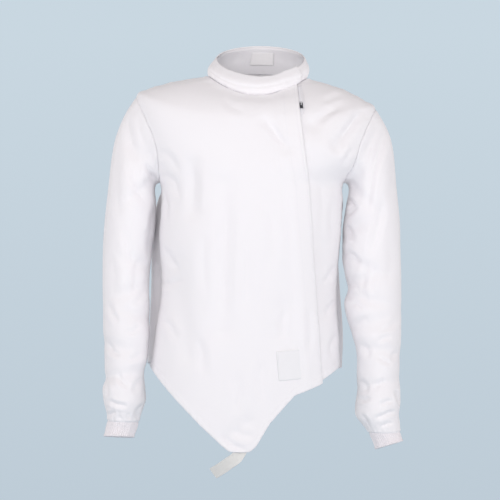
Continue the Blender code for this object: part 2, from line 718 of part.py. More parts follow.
def make_collar():
    points, normals = collar_grid()
    return wall("collar", points, normals, WALL, CLOTH_WHITE, 0.5)


def make_collar_lining():
    """The lining follows the collar's inside, a little short of its edges and its overlap."""
    first, last = LINING_COLUMN_RANGE
    points, normals = collar_grid()
    points = points[:, first:last + 1].copy()
    normals = normals[:, first:last + 1]
    points[0] += (points[1] - points[0]) * LINING_MARGIN
    points[-1] += (points[-2] - points[-1]) * LINING_MARGIN
    points = points - normals * (WALL + SEAM_GAP)
    return wall("collar_lining", points, normals, LINING_WALL, LINING_WHITE, 0.35)


def laid_on(panel, points, normals):
    """The points moved along their normals onto a panel's surface."""
    mesh = panel.data
    mesh.calc_loop_triangles()
    tree = BVHTree.FromPolygons([v.co for v in mesh.vertices], [t.vertices[:] for t in mesh.loop_triangles])
    laid = points.copy()
    for place in np.ndindex(points.shape[:2]):
        direction = Vector(-normals[place])
        start = Vector(points[place]) - direction * PROBE_REACH
        hit = tree.ray_cast(start, direction)[0]
        laid[place] = hit
    return laid


def make_neck_label(lining):
    angle = NECK_LABEL["angle"] + NECK_LABEL["half_angle"] * np.linspace(1, -1, 6)
    angle, height = np.meshgrid(angle, np.linspace(NECK_LABEL["high"], NECK_LABEL["low"], 4))
    inward = -collar_normal(angle, height)
    points = laid_on(lining, collar_point(angle, height), inward) + inward * (LABEL_GAP + LABEL_WALL)
    return wall("neck_label", points, inward, LABEL_WALL, LABEL_WHITE, 0.4)


def body_place(x, z):
    """The angle and level of a point of the front below the armpits, from its x and z."""
    level = level_of_height(z)
    right, left = body_value("right", level), body_value("left", level)
    return angle_of_share((x - (left + right) / 2) / ((left - right) / 2), level), level


def make_hem_label(panel):
    across, down = np.meshgrid(np.linspace(-0.5, 0.5, 6), np.linspace(0.5, -0.5, 6))
    across = across * HEM_LABEL["width"]
    down = down * HEM_LABEL["height"]
    lean = HEM_LABEL["lean"]
    x = HEM_LABEL["x"] + across * math.cos(lean) - down * math.sin(lean)
    z = HEM_LABEL["z"] + across * math.sin(lean) + down * math.cos(lean)
    angle, level = body_place(x, z)
    normals = body_normal(angle, level)
    points = laid_on(panel, body_cloth(angle, level, np.zeros(angle.shape)), normals)
    points = points + normals * (LABEL_GAP + LABEL_WALL)
    return wall("hem_label", points, normals, LABEL_WALL, LABEL_WHITE, 0.5)


def zip_middle(level):
    """The zip's line, hidden under the lap and turning out beside its edge near the neck."""
    edge = opening_angle(level)
    z = body_point(edge, level)[..., 2]
    low, high = ZIP_TURNS_OUT
    turned = ease((z - low) / (high - low))
    return angle_beside(edge, level, ZIP_HIDDEN_OFFSET + (ZIP_TOP_OFFSET - ZIP_HIDDEN_OFFSET) * turned)


def make_zip_tape():
    """The tape lies on the left front: its points are read along that panel's own rows."""
    panel_angle, panel_level = panel_grid("front_left")
    panel_points = body_cloth(panel_angle, panel_level)
    across = np.array([-1.0, 0.0, 1.0]) * TAPE_HALF_WIDTH
    under = panel_level[1:-1, 1]
    level = np.repeat(under[:, None], len(across), axis=1)
    angle = angle_beside(np.repeat(zip_middle(under)[:, None], len(across), axis=1), level, across[None, :])
    points = np.empty(angle.shape + (3,))
    for row in range(len(under)):
        for axis in range(3):
            points[row, :, axis] = np.interp(angle[row], panel_angle[row + 1], panel_points[row + 1, :, axis])
    normals = body_normal(angle, level)
    points = points + normals * (TAPE_GAP + TAPE_WALL)
    return wall("zip_tape", points, normals, TAPE_WALL, CLOTH_WHITE, 0.6)


def slider_frame(tape):
    """Where the slider sits: its middle, and its directions across, down the zip and outward."""
    levels = np.linspace(0.1, 1.0, 400)
    middle = body_point(zip_middle(levels), levels)
    level = np.array(levels[np.argmin(np.abs(middle[:, 2] - SLIDER_Z))])
    angle = zip_middle(level)
    normal = body_normal(angle, level)
    above, below = level - 0.02, level + 0.02
    down = unit(body_point(zip_middle(below), below) - body_point(zip_middle(above), above))
    across = unit(np.cross(normal, down))
    outward = np.cross(down, across)
    place = laid_on(tape, body_cloth(angle, level, np.array(0.0))[None, None], normal[None, None])[0, 0]
    place = place + normal * SLIDER_GAP
    return place, across, down, outward


def add_block(bm, frame, low, high):
    """A box in the slider's frame, from its lowest to its highest corner."""
    place, across, down, outward = frame
    made = bmesh.ops.create_cube(bm, size=1.0)["verts"]
    for vert in made:
        share = np.array(vert.co) + 0.5
        local = np.array(low) + share * (np.array(high) - np.array(low))
        vert.co = place + across * local[0] + down * local[1] + outward * local[2]


def make_block_piece(name, frame, blocks, colour, roughness, metallic):
    """One solid from blocks that share faces: they are joined by a union."""
    pieces = []
    for low, high in blocks:
        bm = bmesh.new()
        add_block(bm, frame, low, high)
        pieces.append(add_object(name, bm, colour, roughness, metallic))
    body = pieces[0]
    for other in pieces[1:]:
        join = body.modifiers.new("join", "BOOLEAN")
        join.operation = "UNION"
        join.object = other
        other.hide_render = True
        other.display_type = "WIRE"
    body.name = name
    return body


def make_zip_slider(frame):
    width, length, height = SLIDER_SIZE
    half_bridge = BRIDGE_WIDTH / 2
    top = height + BRIDGE_HEIGHT
    blocks = (
        ((-width / 2, -length / 2, 0.0), (width / 2, length / 2, height)),
        ((-half_bridge, -BRIDGE_REACH, height - BRIDGE_BITE), (half_bridge, -BRIDGE_REACH + BRIDGE_BAR, top)),
        ((-half_bridge, BRIDGE_REACH - BRIDGE_BAR, height - BRIDGE_BITE), (half_bridge, BRIDGE_REACH, top)),
        ((-half_bridge, -BRIDGE_REACH, top - BRIDGE_BAR), (half_bridge, BRIDGE_REACH, top)),
    )
    return make_block_piece("zip_slider", frame, blocks, ZIP_GREY, 0.35, 0.8)


def make_zip_pull(frame):
    """The pull tab, hanging on the slider's bridge: a flat tab with a window round the bridge."""
    place, across, down, outward = frame
    low = SLIDER_SIZE[2] + PULL_CLEARANCE
    bar = PULL_THICKNESS / 2
    half, window_half = PULL_WIDTH / 2, PULL_WINDOW[0] / 2
    outline = ((-half, -bar), (half, -bar), (half, PULL_LENGTH), (-half, PULL_LENGTH))
    window = ((-window_half, bar), (window_half, bar), (window_half, bar + PULL_WINDOW[1]),
              (-window_half, bar + PULL_WINDOW[1]))
    bm = bmesh.new()

    def ring(corners, height):
        return [bm.verts.new(place + across * x + down * y + outward * height) for x, y in corners]

    high = low + PULL_THICKNESS
    loops = [ring(outline, low), ring(window, low), ring(window, high), ring(outline, high)]
    for near, far in zip(loops, loops[1:] + loops[:1]):
        for i in range(4):
            j = (i + 1) % 4
            bm.faces.new((near[i], near[j], far[j], far[i]))
    return add_object("zip_pull", bm, PULL_DARK, 0.45)


def make_crotch_strap(panel):
    knots = np.arange(len(STRAP_LINE), dtype=float)
    station = np.linspace(0, len(STRAP_LINE) - 1, STRAP_ROWS + 1)
    curves = [smooth(knots, column(STRAP_LINE, STRAP_COLUMNS, name), station) for name in STRAP_COLUMNS]
    line = np.stack(curves, axis=-1)
    along = unit(np.gradient(line, axis=0))
    facing = unit(np.cross(along, np.cross(np.array([0.0, -1.0, 0.0]), along)))
    across = np.cross(along, facing)
    offsets = np.array([-0.5, 0.0, 0.5]) * STRAP_WIDTH
    points = line[:, None, :] + across[:, None, :] * offsets[None, :, None]
    sewn = points[:STRAP_SEWN_ROWS].copy()
    sewn[..., 1] = STRAP_PROBE_Y
    inward = np.broadcast_to(np.array([0.0, 1.0, 0.0]), sewn.shape)
    points[..., 1] += np.nanmax(laid_on(panel, sewn, inward)[..., 1]) + STRAP_GAP
    normals = np.repeat(facing[:, None, :], 3, axis=1)
    return wall("crotch_strap", points, normals, STRAP_WALL, STRAP_GREY, 0.8)


def make_jacket():
    clear_scene()
    front_main = make_front_main()
    make_front_left()
    make_back()
    make_sleeve("sleeve_right", SLEEVE_RIGHT, -1, SLEEVE_RIGHT_FOLDS)
    make_sleeve("sleeve_left", SLEEVE_LEFT, 1, SLEEVE_LEFT_FOLDS)
    make_cuff("cuff_right", CUFF_RIGHT, -1)
    make_cuff("cuff_left", CUFF_LEFT, 1)
    make_collar()
    lining = make_collar_lining()
    make_neck_label(lining)
    make_hem_label(front_main)
    tape = make_zip_tape()
    frame = slider_frame(tape)
    make_zip_slider(frame)
    make_zip_pull(frame)
    make_crotch_strap(front_main)


make_jacket()
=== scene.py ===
# %% [markdown]
# # A white fencing jacket, dressed piece by piece
# The frame holds the jacket's solids: plain, even walls in the shape of the worn garment. This script
# makes what the eye sees: every cut piece as a thin shell with rolled edges, creases and puckers,
# the stitch rows, the zip's coil, the knit of the cuffs and the weaves.
# Each markdown cell says what a piece is on the real jacket and why it is made the way it is.

# %% Load the frame
import json
import math

import bmesh
import bpy
import numpy as np
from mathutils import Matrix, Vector

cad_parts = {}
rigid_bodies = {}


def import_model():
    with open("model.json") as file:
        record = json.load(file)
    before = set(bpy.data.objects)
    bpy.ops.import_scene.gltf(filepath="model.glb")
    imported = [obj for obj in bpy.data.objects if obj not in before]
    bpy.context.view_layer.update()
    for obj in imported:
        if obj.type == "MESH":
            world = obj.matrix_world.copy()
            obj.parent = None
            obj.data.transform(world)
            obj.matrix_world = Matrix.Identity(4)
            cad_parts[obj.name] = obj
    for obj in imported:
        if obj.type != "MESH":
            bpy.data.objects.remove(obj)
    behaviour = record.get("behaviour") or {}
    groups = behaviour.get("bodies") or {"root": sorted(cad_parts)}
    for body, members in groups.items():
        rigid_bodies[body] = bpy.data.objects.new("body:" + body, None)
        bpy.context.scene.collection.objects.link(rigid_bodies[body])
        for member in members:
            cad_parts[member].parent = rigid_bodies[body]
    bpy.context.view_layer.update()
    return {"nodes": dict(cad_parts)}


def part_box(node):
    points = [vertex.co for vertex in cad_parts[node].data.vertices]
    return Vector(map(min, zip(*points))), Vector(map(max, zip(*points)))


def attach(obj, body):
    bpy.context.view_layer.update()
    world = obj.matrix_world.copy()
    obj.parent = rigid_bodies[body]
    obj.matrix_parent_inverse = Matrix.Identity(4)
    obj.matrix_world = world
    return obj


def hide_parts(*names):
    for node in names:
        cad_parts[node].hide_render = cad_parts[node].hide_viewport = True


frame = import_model()
print("nodes in the frame:", len(frame["nodes"]))

# %% [markdown]
# ## Camera
# The photograph was taken straight from the front with a long lens. A camera four metres away with a
# narrow view gives the same small perspective. The photo's frame is 0.95 m wide at the jacket, which
# with the distance fixes the focal length, so nothing has to be shifted or cropped.

# %% Camera
VIEW_WIDTH = 0.950
VIEW_CENTRE = (-0.0057, -0.3078)
CAMERA_DISTANCE = 4.0
SENSOR = 36.0

scene = bpy.context.scene
camera_data = bpy.data.cameras.new("camera")
camera_data.sensor_width = SENSOR
camera_data.lens = SENSOR * CAMERA_DISTANCE / VIEW_WIDTH
camera = bpy.data.objects.new("camera", camera_data)
camera.location = (VIEW_CENTRE[0], -CAMERA_DISTANCE, VIEW_CENTRE[1])
camera.rotation_euler = (math.radians(90), 0, 0)
scene.collection.objects.link(camera)
scene.camera = camera
print("focal length in mm:", round(camera_data.lens, 1))

# %% [markdown]
# ## Light and backdrop
# White cloth on a pale ground is lit from all round, or its edges would turn grey. Most of the light
# here is a surround that is even at the sides and darker above, because the photographed shoulders
# turn darker towards the top. Two large soft lamps in front of the jacket add the gentle slope from
# lit to shaded that shows its roundness. What the camera sees behind the jacket is a plain pale
# blue-grey that darkens a little towards the floor.

# %% Surround and lamps
BACKDROP_HIGH = (0.584, 0.680, 0.752)
BACKDROP_LOW = (0.515, 0.604, 0.679)
SURROUND = (1.0, 0.962, 0.968)
SURROUND_BELOW = 0.88
SURROUND_ABOVE = 0.40
FLOOR_Z = -1.35
LAMP_COLUMNS = ("name", "place", "size", "watts")
LAMPS = (
    ("front_lamp", (-0.7, -3.8, 0.2), 1.2, 27.0),
    ("left_lamp", (-2.9, -2.1, 0.6), 1.4, 16.0),
    ("right_lamp", (2.6, -2.4, -0.1), 1.8, 24.0),
)
LAMP_COLOUR = (1.0, 0.975, 0.97)
AIM = (0.0, 0.0, -0.3)

scene.view_settings.view_transform = "Standard"
world = bpy.data.worlds.new("surround")
world.use_nodes = True
scene.world = world
sky = world.node_tree
sky.nodes.clear()


def node(tree, kind, **values):
    """A new shader node. A value named after an attribute sets it, and any other sets a socket."""
    made = tree.nodes.new(kind)
    for name, value in values.items():
        if hasattr(made, name):
            setattr(made, name, value)
        else:
            made.inputs[name.replace("_", " ")].default_value = value
    return made


direction = node(sky, "ShaderNodeTexCoord")
split = node(sky, "ShaderNodeSeparateXYZ")
height = node(sky, "ShaderNodeMapRange")
height.inputs["From Min"].default_value = -0.12
height.inputs["From Max"].default_value = 0.10
behind = node(sky, "ShaderNodeMix", data_type="RGBA")
behind.inputs["A"].default_value = (*BACKDROP_LOW, 1)
behind.inputs["B"].default_value = (*BACKDROP_HIGH, 1)
seen = node(sky, "ShaderNodeBackground")
light = node(sky, "ShaderNodeMapRange")
light.inputs["From Min"].default_value = -0.1
light.inputs["From Max"].default_value = 0.9
light.inputs["To Min"].default_value = SURROUND_BELOW
light.inputs["To Max"].default_value = SURROUND_ABOVE
around = node(sky, "ShaderNodeBackground", Color=(*SURROUND, 1))
path = node(sky, "ShaderNodeLightPath")
either = node(sky, "ShaderNodeMixShader")
world_out = node(sky, "ShaderNodeOutputWorld")
sky.links.new(direction.outputs["Generated"], split.inputs["Vector"])
sky.links.new(split.outputs["Z"], height.inputs["Value"])
sky.links.new(split.outputs["Z"], light.inputs["Value"])
sky.links.new(light.outputs["Result"], around.inputs["Strength"])
sky.links.new(height.outputs["Result"], behind.inputs["Factor"])
sky.links.new(behind.outputs["Result"], seen.inputs["Color"])
sky.links.new(path.outputs["Is Camera Ray"], either.inputs["Fac"])
sky.links.new(around.outputs["Background"], either.inputs[1])
sky.links.new(seen.outputs["Background"], either.inputs[2])
sky.links.new(either.outputs["Shader"], world_out.inputs["Surface"])

for name, place, size, watts in LAMPS:
    lamp_data = bpy.data.lights.new(name, "AREA")
    lamp_data.size = size
    lamp_data.energy = watts
    lamp_data.color = LAMP_COLOUR
    lamp = bpy.data.objects.new(name, lamp_data)
    lamp.location = place
    lamp.rotation_euler = (Vector(AIM) - Vector(place)).to_track_quat("-Z", "Y").to_euler()
    scene.collection.objects.link(lamp)
print("lamps:", len(LAMPS))

# %% Floor
FLOOR_RADIUS = 4.0
FLOOR_SIDES = 96

floor_mesh = bpy.data.meshes.new("floor")
rim = [
    (FLOOR_RADIUS * math.cos(2 * math.pi * i / FLOOR_SIDES), FLOOR_RADIUS * math.sin(2 * math.pi * i / FLOOR_SIDES),
     FLOOR_Z)
    for i in range(FLOOR_SIDES)
]
floor_mesh.from_pydata(rim, [], [tuple(range(FLOOR_SIDES))])
floor = bpy.data.objects.new("floor", floor_mesh)
scene.collection.objects.link(floor)
floor_finish = bpy.data.materials.new("floor_paper")
floor_finish.use_nodes = True
floor_shader = floor_finish.node_tree.nodes["Principled BSDF"]
floor_shader.inputs["Base Color"].default_value = (*BACKDROP_HIGH, 1)
floor_shader.inputs["Roughness"].default_value = 0.9
floor_mesh.materials.append(floor_finish)
print("floor at", FLOOR_Z)

# %% [markdown]
# ## The form of the body
# A jacket's body is cut from flat panels, and once it is worn they meet in one round form. Modelling
# each panel by hand would leave gaps between them. Here the whole body is one smooth surface that an
# angle and a level describe, and every panel is a stretch of it, so neighbours always meet.
# The angle is 0 at the middle of the front and grows to the wearer's left. The level is 0 at the
# neckline, 1 over the shoulder points, 2 at the armpits, and grows by one for each tenth of a metre.

# %% Reading smooth curves from short tables
def column(rows, columns, name):
    return np.array([row[columns.index(name)] for row in rows], dtype=float)


def smooth(knots, values, at):
    """A smooth curve through the values at the knots, read at any places between them."""
    slopes = np.gradient(values, knots)
    at = np.clip(at, knots[0], knots[-1])
    left = np.clip(np.searchsorted(knots, at, side="right") - 1, 0, len(knots) - 2)
    step = knots[left + 1] - knots[left]
    t = (at - knots[left]) / step
    return (values[left] * (1 + 2 * t) * (1 - t) ** 2
            + slopes[left] * step * t * (1 - t) ** 2
            + values[left + 1] * t ** 2 * (3 - 2 * t)
            + slopes[left + 1] * step * t ** 2 * (t - 1))


def ease(t):
    t = np.clip(t, 0.0, 1.0)
    return t * t * (3 - 2 * t)


def unit(vectors):
    lengths = np.linalg.norm(vectors, axis=-1, keepdims=True)
    return vectors / np.maximum(lengths, 1e-12)


# %% The body's sections
ARMPIT_LEVEL = 2.0
ARMPIT_Z = -0.180
LEVEL_STEP = 0.100
BODY_COLUMNS = ("level", "right", "left", "front", "back", "z_right", "z_left", "z_front", "z_back",
                "squareness", "full_right", "full_left")
BODY_SECTIONS = (
    (0.00, -0.084, 0.101, 0.069, 0.078, 0.022, 0.018, -0.018, 0.030, 2.0, 0.000, 0.000),
    (0.33, -0.150, 0.167, 0.094, 0.100, 0.011, -0.002, -0.035, 0.010, 2.0, 0.000, 0.000),
    (0.67, -0.202, 0.214, 0.108, 0.113, -0.004, -0.026, -0.056, -0.020, 2.1, 0.000, 0.000),
    (1.00, -0.221, 0.232, 0.114, 0.120, -0.018, -0.041, -0.078, -0.050, 2.2, 0.000, 0.000),
    (1.25, -0.218, 0.231, 0.118, 0.124, -0.056, -0.075, -0.102, -0.082, 2.3, 0.000, 0.000),
    (1.50, -0.207, 0.222, 0.122, 0.126, -0.097, -0.110, -0.128, -0.114, 2.35, 0.000, 0.000),
    (1.75, -0.192, 0.203, 0.125, 0.126, -0.139, -0.145, -0.153, -0.145, 2.4, 0.000, 0.000),
    (2.00, -0.176, 0.172, 0.126, 0.124, -0.180, -0.180, -0.180, -0.180, 2.4, 0.002, 0.000),
    (2.30, -0.1735, 0.1700, 0.127, 0.122, -0.210, -0.210, -0.210, -0.210, 2.4, 0.020, 0.012),
    (3.00, -0.178, 0.166, 0.128, 0.117, -0.280, -0.280, -0.280, -0.280, 2.4, 0.028, 0.004),
    (4.00, -0.173, 0.158, 0.127, 0.110, -0.380, -0.380, -0.380, -0.380, 2.4, 0.036, 0.020),
    (5.00, -0.188, 0.163, 0.126, 0.111, -0.480, -0.480, -0.480, -0.480, 2.4, 0.025, 0.022),
    (6.00, -0.201, 0.166, 0.125, 0.114, -0.580, -0.580, -0.580, -0.580, 2.4, 0.012, 0.010),
    (7.00, -0.206, 0.170, 0.123, 0.114, -0.680, -0.680, -0.680, -0.680, 2.4, 0.000, 0.000),
)
BODY_CURVES = {name: column(BODY_SECTIONS, BODY_COLUMNS, name) for name in BODY_COLUMNS}
FULL_FROM = math.radians(91)
FULL_TO = math.radians(151)


def body_value(name, level):
    return smooth(BODY_CURVES["level"], BODY_CURVES[name], level)


def body_point(angle, level):
    """A point of the body's surface, before its folds."""
    angle, level = np.broadcast_arrays(np.asarray(angle, dtype=float), np.asarray(level, dtype=float))
    right, left = body_value("right", level), body_value("left", level)
    power = body_value("squareness", level)
    reach = (np.abs(np.sin(angle)) ** power + np.abs(np.cos(angle)) ** power) ** (-1 / power)
    across, along = reach * np.sin(angle), reach * np.cos(angle)
    x = (left + right) / 2 + (left - right) / 2 * across
    y = np.where(along > 0, -body_value("front", level) * along, -body_value("back", level) * along)
    turned = np.abs((angle + math.pi) % (2 * math.pi) - math.pi)
    swell = np.sin(math.pi * np.clip((turned - FULL_FROM) / (FULL_TO - FULL_FROM), 0, 1)) ** 2
    fullness = np.where(across < 0, -body_value("full_right", level), body_value("full_left", level))
    z_side = np.where(across < 0, body_value("z_right", level), body_value("z_left", level))
    z_middle = np.where(along > 0, body_value("z_front", level), body_value("z_back", level))
    z = z_middle + (z_side - z_middle) * np.sin(angle) ** 2
    return np.stack([x + fullness * swell, y, z], axis=-1)


def surface_normals(surface, first, second, inward=False):
    """Normals of a surface given by two numbers, outward when the second runs down the piece."""
    small = 1e-3
    along_first = surface(first + small, second) - surface(first - small, second)
    along_second = surface(first, second + small) - surface(first, second - small)
    normals = unit(np.cross(along_second, along_first))
    return -normals if inward else normals


def body_normal(angle, level):
    angle, level = np.broadcast_arrays(np.asarray(angle, dtype=float), np.asarray(level, dtype=float))
    return surface_normals(body_point, angle, np.maximum(level, 2e-3))


print("chest round in mm:", round(1000 * float(np.linalg.norm(np.diff(
    body_point(np.linspace(0, 2 * math.pi, 400), np.full(400, 2.5)), axis=0), axis=-1).sum())))

# %% [markdown]
# ## Folds and creases
# A worn jacket hangs in a few large, soft folds, which the solids already have, and many small
# creases, which they don't. A cloth simulation would find its own folds, not these. So each one is
# listed as a line with a width and a depth, pushed in where it is a trough and out where the
# depth is negative. No two have the same length, width or slant, as on real cloth.

# %% Folds of the body
FOLD_COLUMNS = ("x_start", "z_start", "x_end", "z_end", "half_width", "depth")
FRONT_FOLDS = (
    (0.112, -0.074, 0.158, -0.038, 0.014, 0.0050),
    (0.155, -0.115, 0.205, -0.048, 0.013, 0.0060),
    (0.110, -0.110, 0.170, -0.128, 0.022, -0.0040),
    (0.024, -0.069, 0.062, -0.120, 0.012, 0.0040),
    (-0.052, -0.190, -0.056, -0.455, 0.022, 0.0040),
    (-0.113, -0.150, -0.112, -0.235, 0.016, 0.0040),
    (0.055, -0.415, 0.052, -0.465, 0.016, 0.0030),
    (-0.150, -0.330, -0.120, -0.500, 0.020, 0.0040),
    (0.130, -0.300, 0.140, -0.420, 0.018, 0.0040),
    (-0.050, -0.655, -0.010, -0.625, 0.012, 0.0025),
)
BACK_FOLDS = (
    (-0.150, -0.120, -0.095, -0.190, 0.016, 0.0050),
    (0.155, -0.120, 0.100, -0.200, 0.016, 0.0050),
    (0.000, -0.300, -0.012, -0.500, 0.022, 0.0050),
    (0.070, -0.330, 0.085, -0.510, 0.020, 0.0045),
    (-0.085, -0.310, -0.095, -0.500, 0.020, 0.0045),
    (-0.030, -0.420, 0.050, -0.440, 0.016, 0.0030),
)
FRONT_CREASES = (
    (((25, -68), (44, -95), (65, -120)), 5, 2.6),
    (((116, -74), (137, -53), (160, -36)), 6, 4.2),
    (((158, -114), (182, -80), (207, -46)), 6, 4.4),
    (((129, -34), (150, -21), (173, -13)), 5, 2.6),
    (((165, -152), (177, -129), (190, -114)), 5, 3.2),
    (((-59, -23), (-40, -42), (-13, -53)), 7, 1.8),
    (((-177, -118), (-154, -137), (-135, -167)), 7, 2.6),
    (((-169, -160), (-146, -182), (-135, -220)), 6, 3),
    (((-171, -186), (-162, -224), (-165, -262)), 5, 2.8),
    (((-114, -142), (-110, -190), (-116, -239)), 9, 2.6),
    (((-51, -190), (-49, -270), (-55, -365), (-51, -452)), 11, 3),
    (((-89, -270), (-91, -331), (-86, -403)), 9, 2),
    (((-17, -281), (-13, -365), (-19, -441)), 10, 1.8),
    (((28, -213), (36, -289), (32, -357)), 10, 1.8),
    (((59, -414), (53, -445), (59, -471)), 6, 2.4),
    (((17, -498), (13, -555), (21, -600)), 8, 2),
    (((-169, -296), (-154, -331), (-139, -350)), 6, 2.8),
    (((-177, -369), (-158, -372), (-131, -361)), 6, 2.4),
    (((-173, -433), (-154, -452), (-139, -479)), 6, 2.4),
    (((-104, -460), (-93, -502), (-93, -547)), 8, 2.2),
    (((-32, -521), (-28, -574), (-32, -616)), 8, 2),
    (((-59, -650), (-36, -669), (-4, -680)), 5, 3.2),
    (((-40, -638), (-19, -650), (6, -650)), 6, 2),
    (((101, -403), (104, -460), (101, -509)), 6, 2),
    (((150, -205), (146, -255), (154, -308)), 7, 2.6),
    (((124, -175), (131, -232), (127, -296)), 8, 2),
    (((158, -331), (146, -357), (131, -372)), 5, 2.8),
    (((162, -403), (148, -414), (137, -433)), 5, 2.6),
    (((158, -460), (146, -486), (148, -513)), 5, 2.6),
)
BACK_CREASES = (
    (((-172, -134), (-158, -152), (-140, -176)), 6, 3.0),
    (((176, -140), (162, -158), (142, -182)), 6, 3.2),
    (((-120, -92), (-92, -80), (-60, -78)), 8, 2.0),
    (((62, -82), (94, -84), (130, -98)), 8, 2.2),
    (((-30, -62), (4, -58), (34, -66)), 9, 1.4),
    (((-46, -240), (-38, -300), (-40, -360)), 9, 2.0),
    (((36, -260), (46, -330), (44, -400)), 10, 2.2),
    (((104, -270), (114, -318), (112, -360)), 8, 2.2),
    (((-122, -260), (-118, -320), (-126, -380)), 7, 2.6),
    (((-60, -410), (-70, -460), (-66, -520)), 8, 2.2),
    (((20, -450), (24, -490), (16, -525)), 7, 2.0),
    (((118, -420), (126, -470), (124, -520)), 8, 2.2),
    (((-140, -420), (-124, -424), (-110, -436)), 6, 2.6),
    (((-168, -340), (-154, -344), (-140, -356)), 6, 2.8),
    (((128, -372), (140, -376), (152, -388)), 6, 2.8),
    (((-14, -380), (8, -388), (30, -392)), 7, 1.8),
)
MM = 0.001
CREASE_ENDS = 3.0
CREASE_SHARPNESS = 1.5
RIDGE_SHARE = 0.30
RIDGE_PLACE = 2.0
RIDGE_WIDTH = 0.9


def crease_depth(points, creases):
    """How far creases push the points in. Each is a bent line in mm that fades out at its ends."""
    place = points[..., [0, 2]] / MM
    valley, ridge = np.zeros((2,) + place.shape[:-1])
    for line, half_width, depth in creases:
        line = np.array(line, dtype=float)
        steps = np.diff(line, axis=0)
        lengths = np.linalg.norm(steps, axis=1)
        nearest = np.full(place.shape[:-1], np.inf)
        along = np.zeros(place.shape[:-1])
        for i, (first, step, length) in enumerate(zip(line, steps, lengths)):
            share = np.clip((place - first) @ step / length ** 2, 0, 1)
            distance = np.linalg.norm(place - first - share[..., None] * step, axis=-1)
            along = np.where(distance < nearest, lengths[:i].sum() + share * length, along)
            nearest = np.minimum(distance, nearest)
        total = lengths.sum()
        full = depth * ease(CREASE_ENDS * np.minimum(along, total - along) / total)
        away = nearest / half_width
        valley = np.maximum(valley, full * np.exp(-away ** CREASE_SHARPNESS))
        ridge = np.maximum(ridge, full * RIDGE_SHARE * np.exp(-((away - RIDGE_PLACE) / RIDGE_WIDTH) ** 2))
    return (valley - ridge) * MM


def fold_depth(points, folds):
    """How far the folds push the points in, seen along the view."""
    total = np.zeros(points.shape[:-1])
    x, z = points[..., 0], points[..., 2]
    for x_start, z_start, x_end, z_end, half_width, depth in folds:
        line = np.array([x_end - x_start, z_end - z_start])
        length = math.hypot(*line)
        along = ((x - x_start) * line[0] + (z - z_start) * line[1]) / length ** 2
        off = ((x - x_start) * line[1] - (z - z_start) * line[0]) / length
        beyond = np.maximum(np.abs(along - 0.5) - 0.5, 0) * length
        away = np.sqrt(off ** 2 + beyond ** 2) / half_width
        total += depth * np.exp(-away ** 2)
    return total


def body_cloth(angle, level, lift=0.0):
    """A point of the worn cloth: the body's surface with its folds and creases, moved by the lift."""
    points = body_point(angle, level)
    normals = body_normal(angle, level)
    facing = ease(3.0 * np.abs(np.cos(angle)))
    front = np.cos(angle) > 0
    folds = np.where(front, fold_depth(points, FRONT_FOLDS), fold_depth(points, BACK_FOLDS))
    creases = np.where(front, crease_depth(points, FRONT_CREASES), crease_depth(points, BACK_CREASES))
    depth = (folds + creases) * facing
    return points + normals * (lift - depth)[..., None]


print("folds and creases of the body:", len(FRONT_FOLDS + BACK_FOLDS + FRONT_CREASES + BACK_CREASES))

# %% [markdown]
# ## Cutting the body into panels
# The main front laps over the left front by three centimetres, and both run down to the hem, which
# drops to a rounded point between the legs. The back stops at the waist. A panel is a grid of angles
# and levels: its sides follow the side seams, with the armholes cut out, and its last row the hem.

# %% The hem and the opening
FRONT_HEM = (
    (-0.200, -0.520), (-0.173, -0.552), (-0.145, -0.583), (-0.098, -0.631), (-0.058, -0.668),
    (-0.046, -0.678), (-0.024, -0.682), (-0.005, -0.679), (0.006, -0.669), (0.031, -0.627),
    (0.076, -0.577), (0.126, -0.556), (0.165, -0.532),
)
HEM_X, HEM_Z = np.array(FRONT_HEM).T
LEFT_HEM_RISE = 0.005
BACK_HEM_Z = -0.536
OPENING = (
    (-0.700, 0.136), (-0.560, 0.128), (-0.255, 0.108), (-0.167, 0.101), (-0.120, 0.094),
    (-0.013, 0.083), (0.010, 0.082),
)
OPENING_Z, OPENING_X = np.array(OPENING).T
LAP_WIDTH = 0.030
LAP_RAMP = 0.020
UNDER_WIDTH = 0.028
LAP_LIFT = 0.0040
LAP_PRESS = 0.0019
LAP_PRESS_FROM = -0.006
LAP_PRESS_BELOW = (-0.085, -0.110)


def level_of_height(z):
    return ARMPIT_LEVEL + (ARMPIT_Z - z) / LEVEL_STEP


def hem_level(angle, rise=0.0):
    """The level of the hem at an angle round the body."""
    level = np.full(angle.shape, level_of_height(BACK_HEM_Z))
    for _ in range(6):
        x = body_point(angle, level)[..., 0]
        level = level_of_height(np.interp(x, HEM_X, HEM_Z))
    side_z = np.where(np.sin(angle) < 0, HEM_Z[0], HEM_Z[-1])
    back_z = BACK_HEM_Z + (side_z - BACK_HEM_Z) * np.sin(angle) ** 4
    behind = np.cos(angle) < 0
    return np.where(behind, level_of_height(back_z), level) - rise / LEVEL_STEP


def angle_of_share(share, level):
    """The angle on the front where the body's surface is at a share of its half width."""
    power = body_value("squareness", level)
    share = np.clip(share, -0.97, 0.97)
    return np.arctan(share / (1 - np.abs(share) ** power) ** (1 / power))


def opening_angle(level):
    """The angle at which the main front's free edge lies, at a level."""
    right, left = body_value("right", level), body_value("left", level)
    angle = np.full(level.shape, 0.6)
    for _ in range(6):
        x = smooth(OPENING_Z, OPENING_X, body_point(angle, level)[..., 2])
        angle = angle_of_share((x - (left + right) / 2) / ((left - right) / 2), level)
    return angle


def angle_beside(angle, level, distance):
    """The angle that lies a distance along the cloth from another, at the same level."""
    small = 1e-3
    ahead, behind_it = body_point(angle + small, level), body_point(angle - small, level)
    return angle + distance * 2 * small / np.linalg.norm(ahead - behind_it, axis=-1)


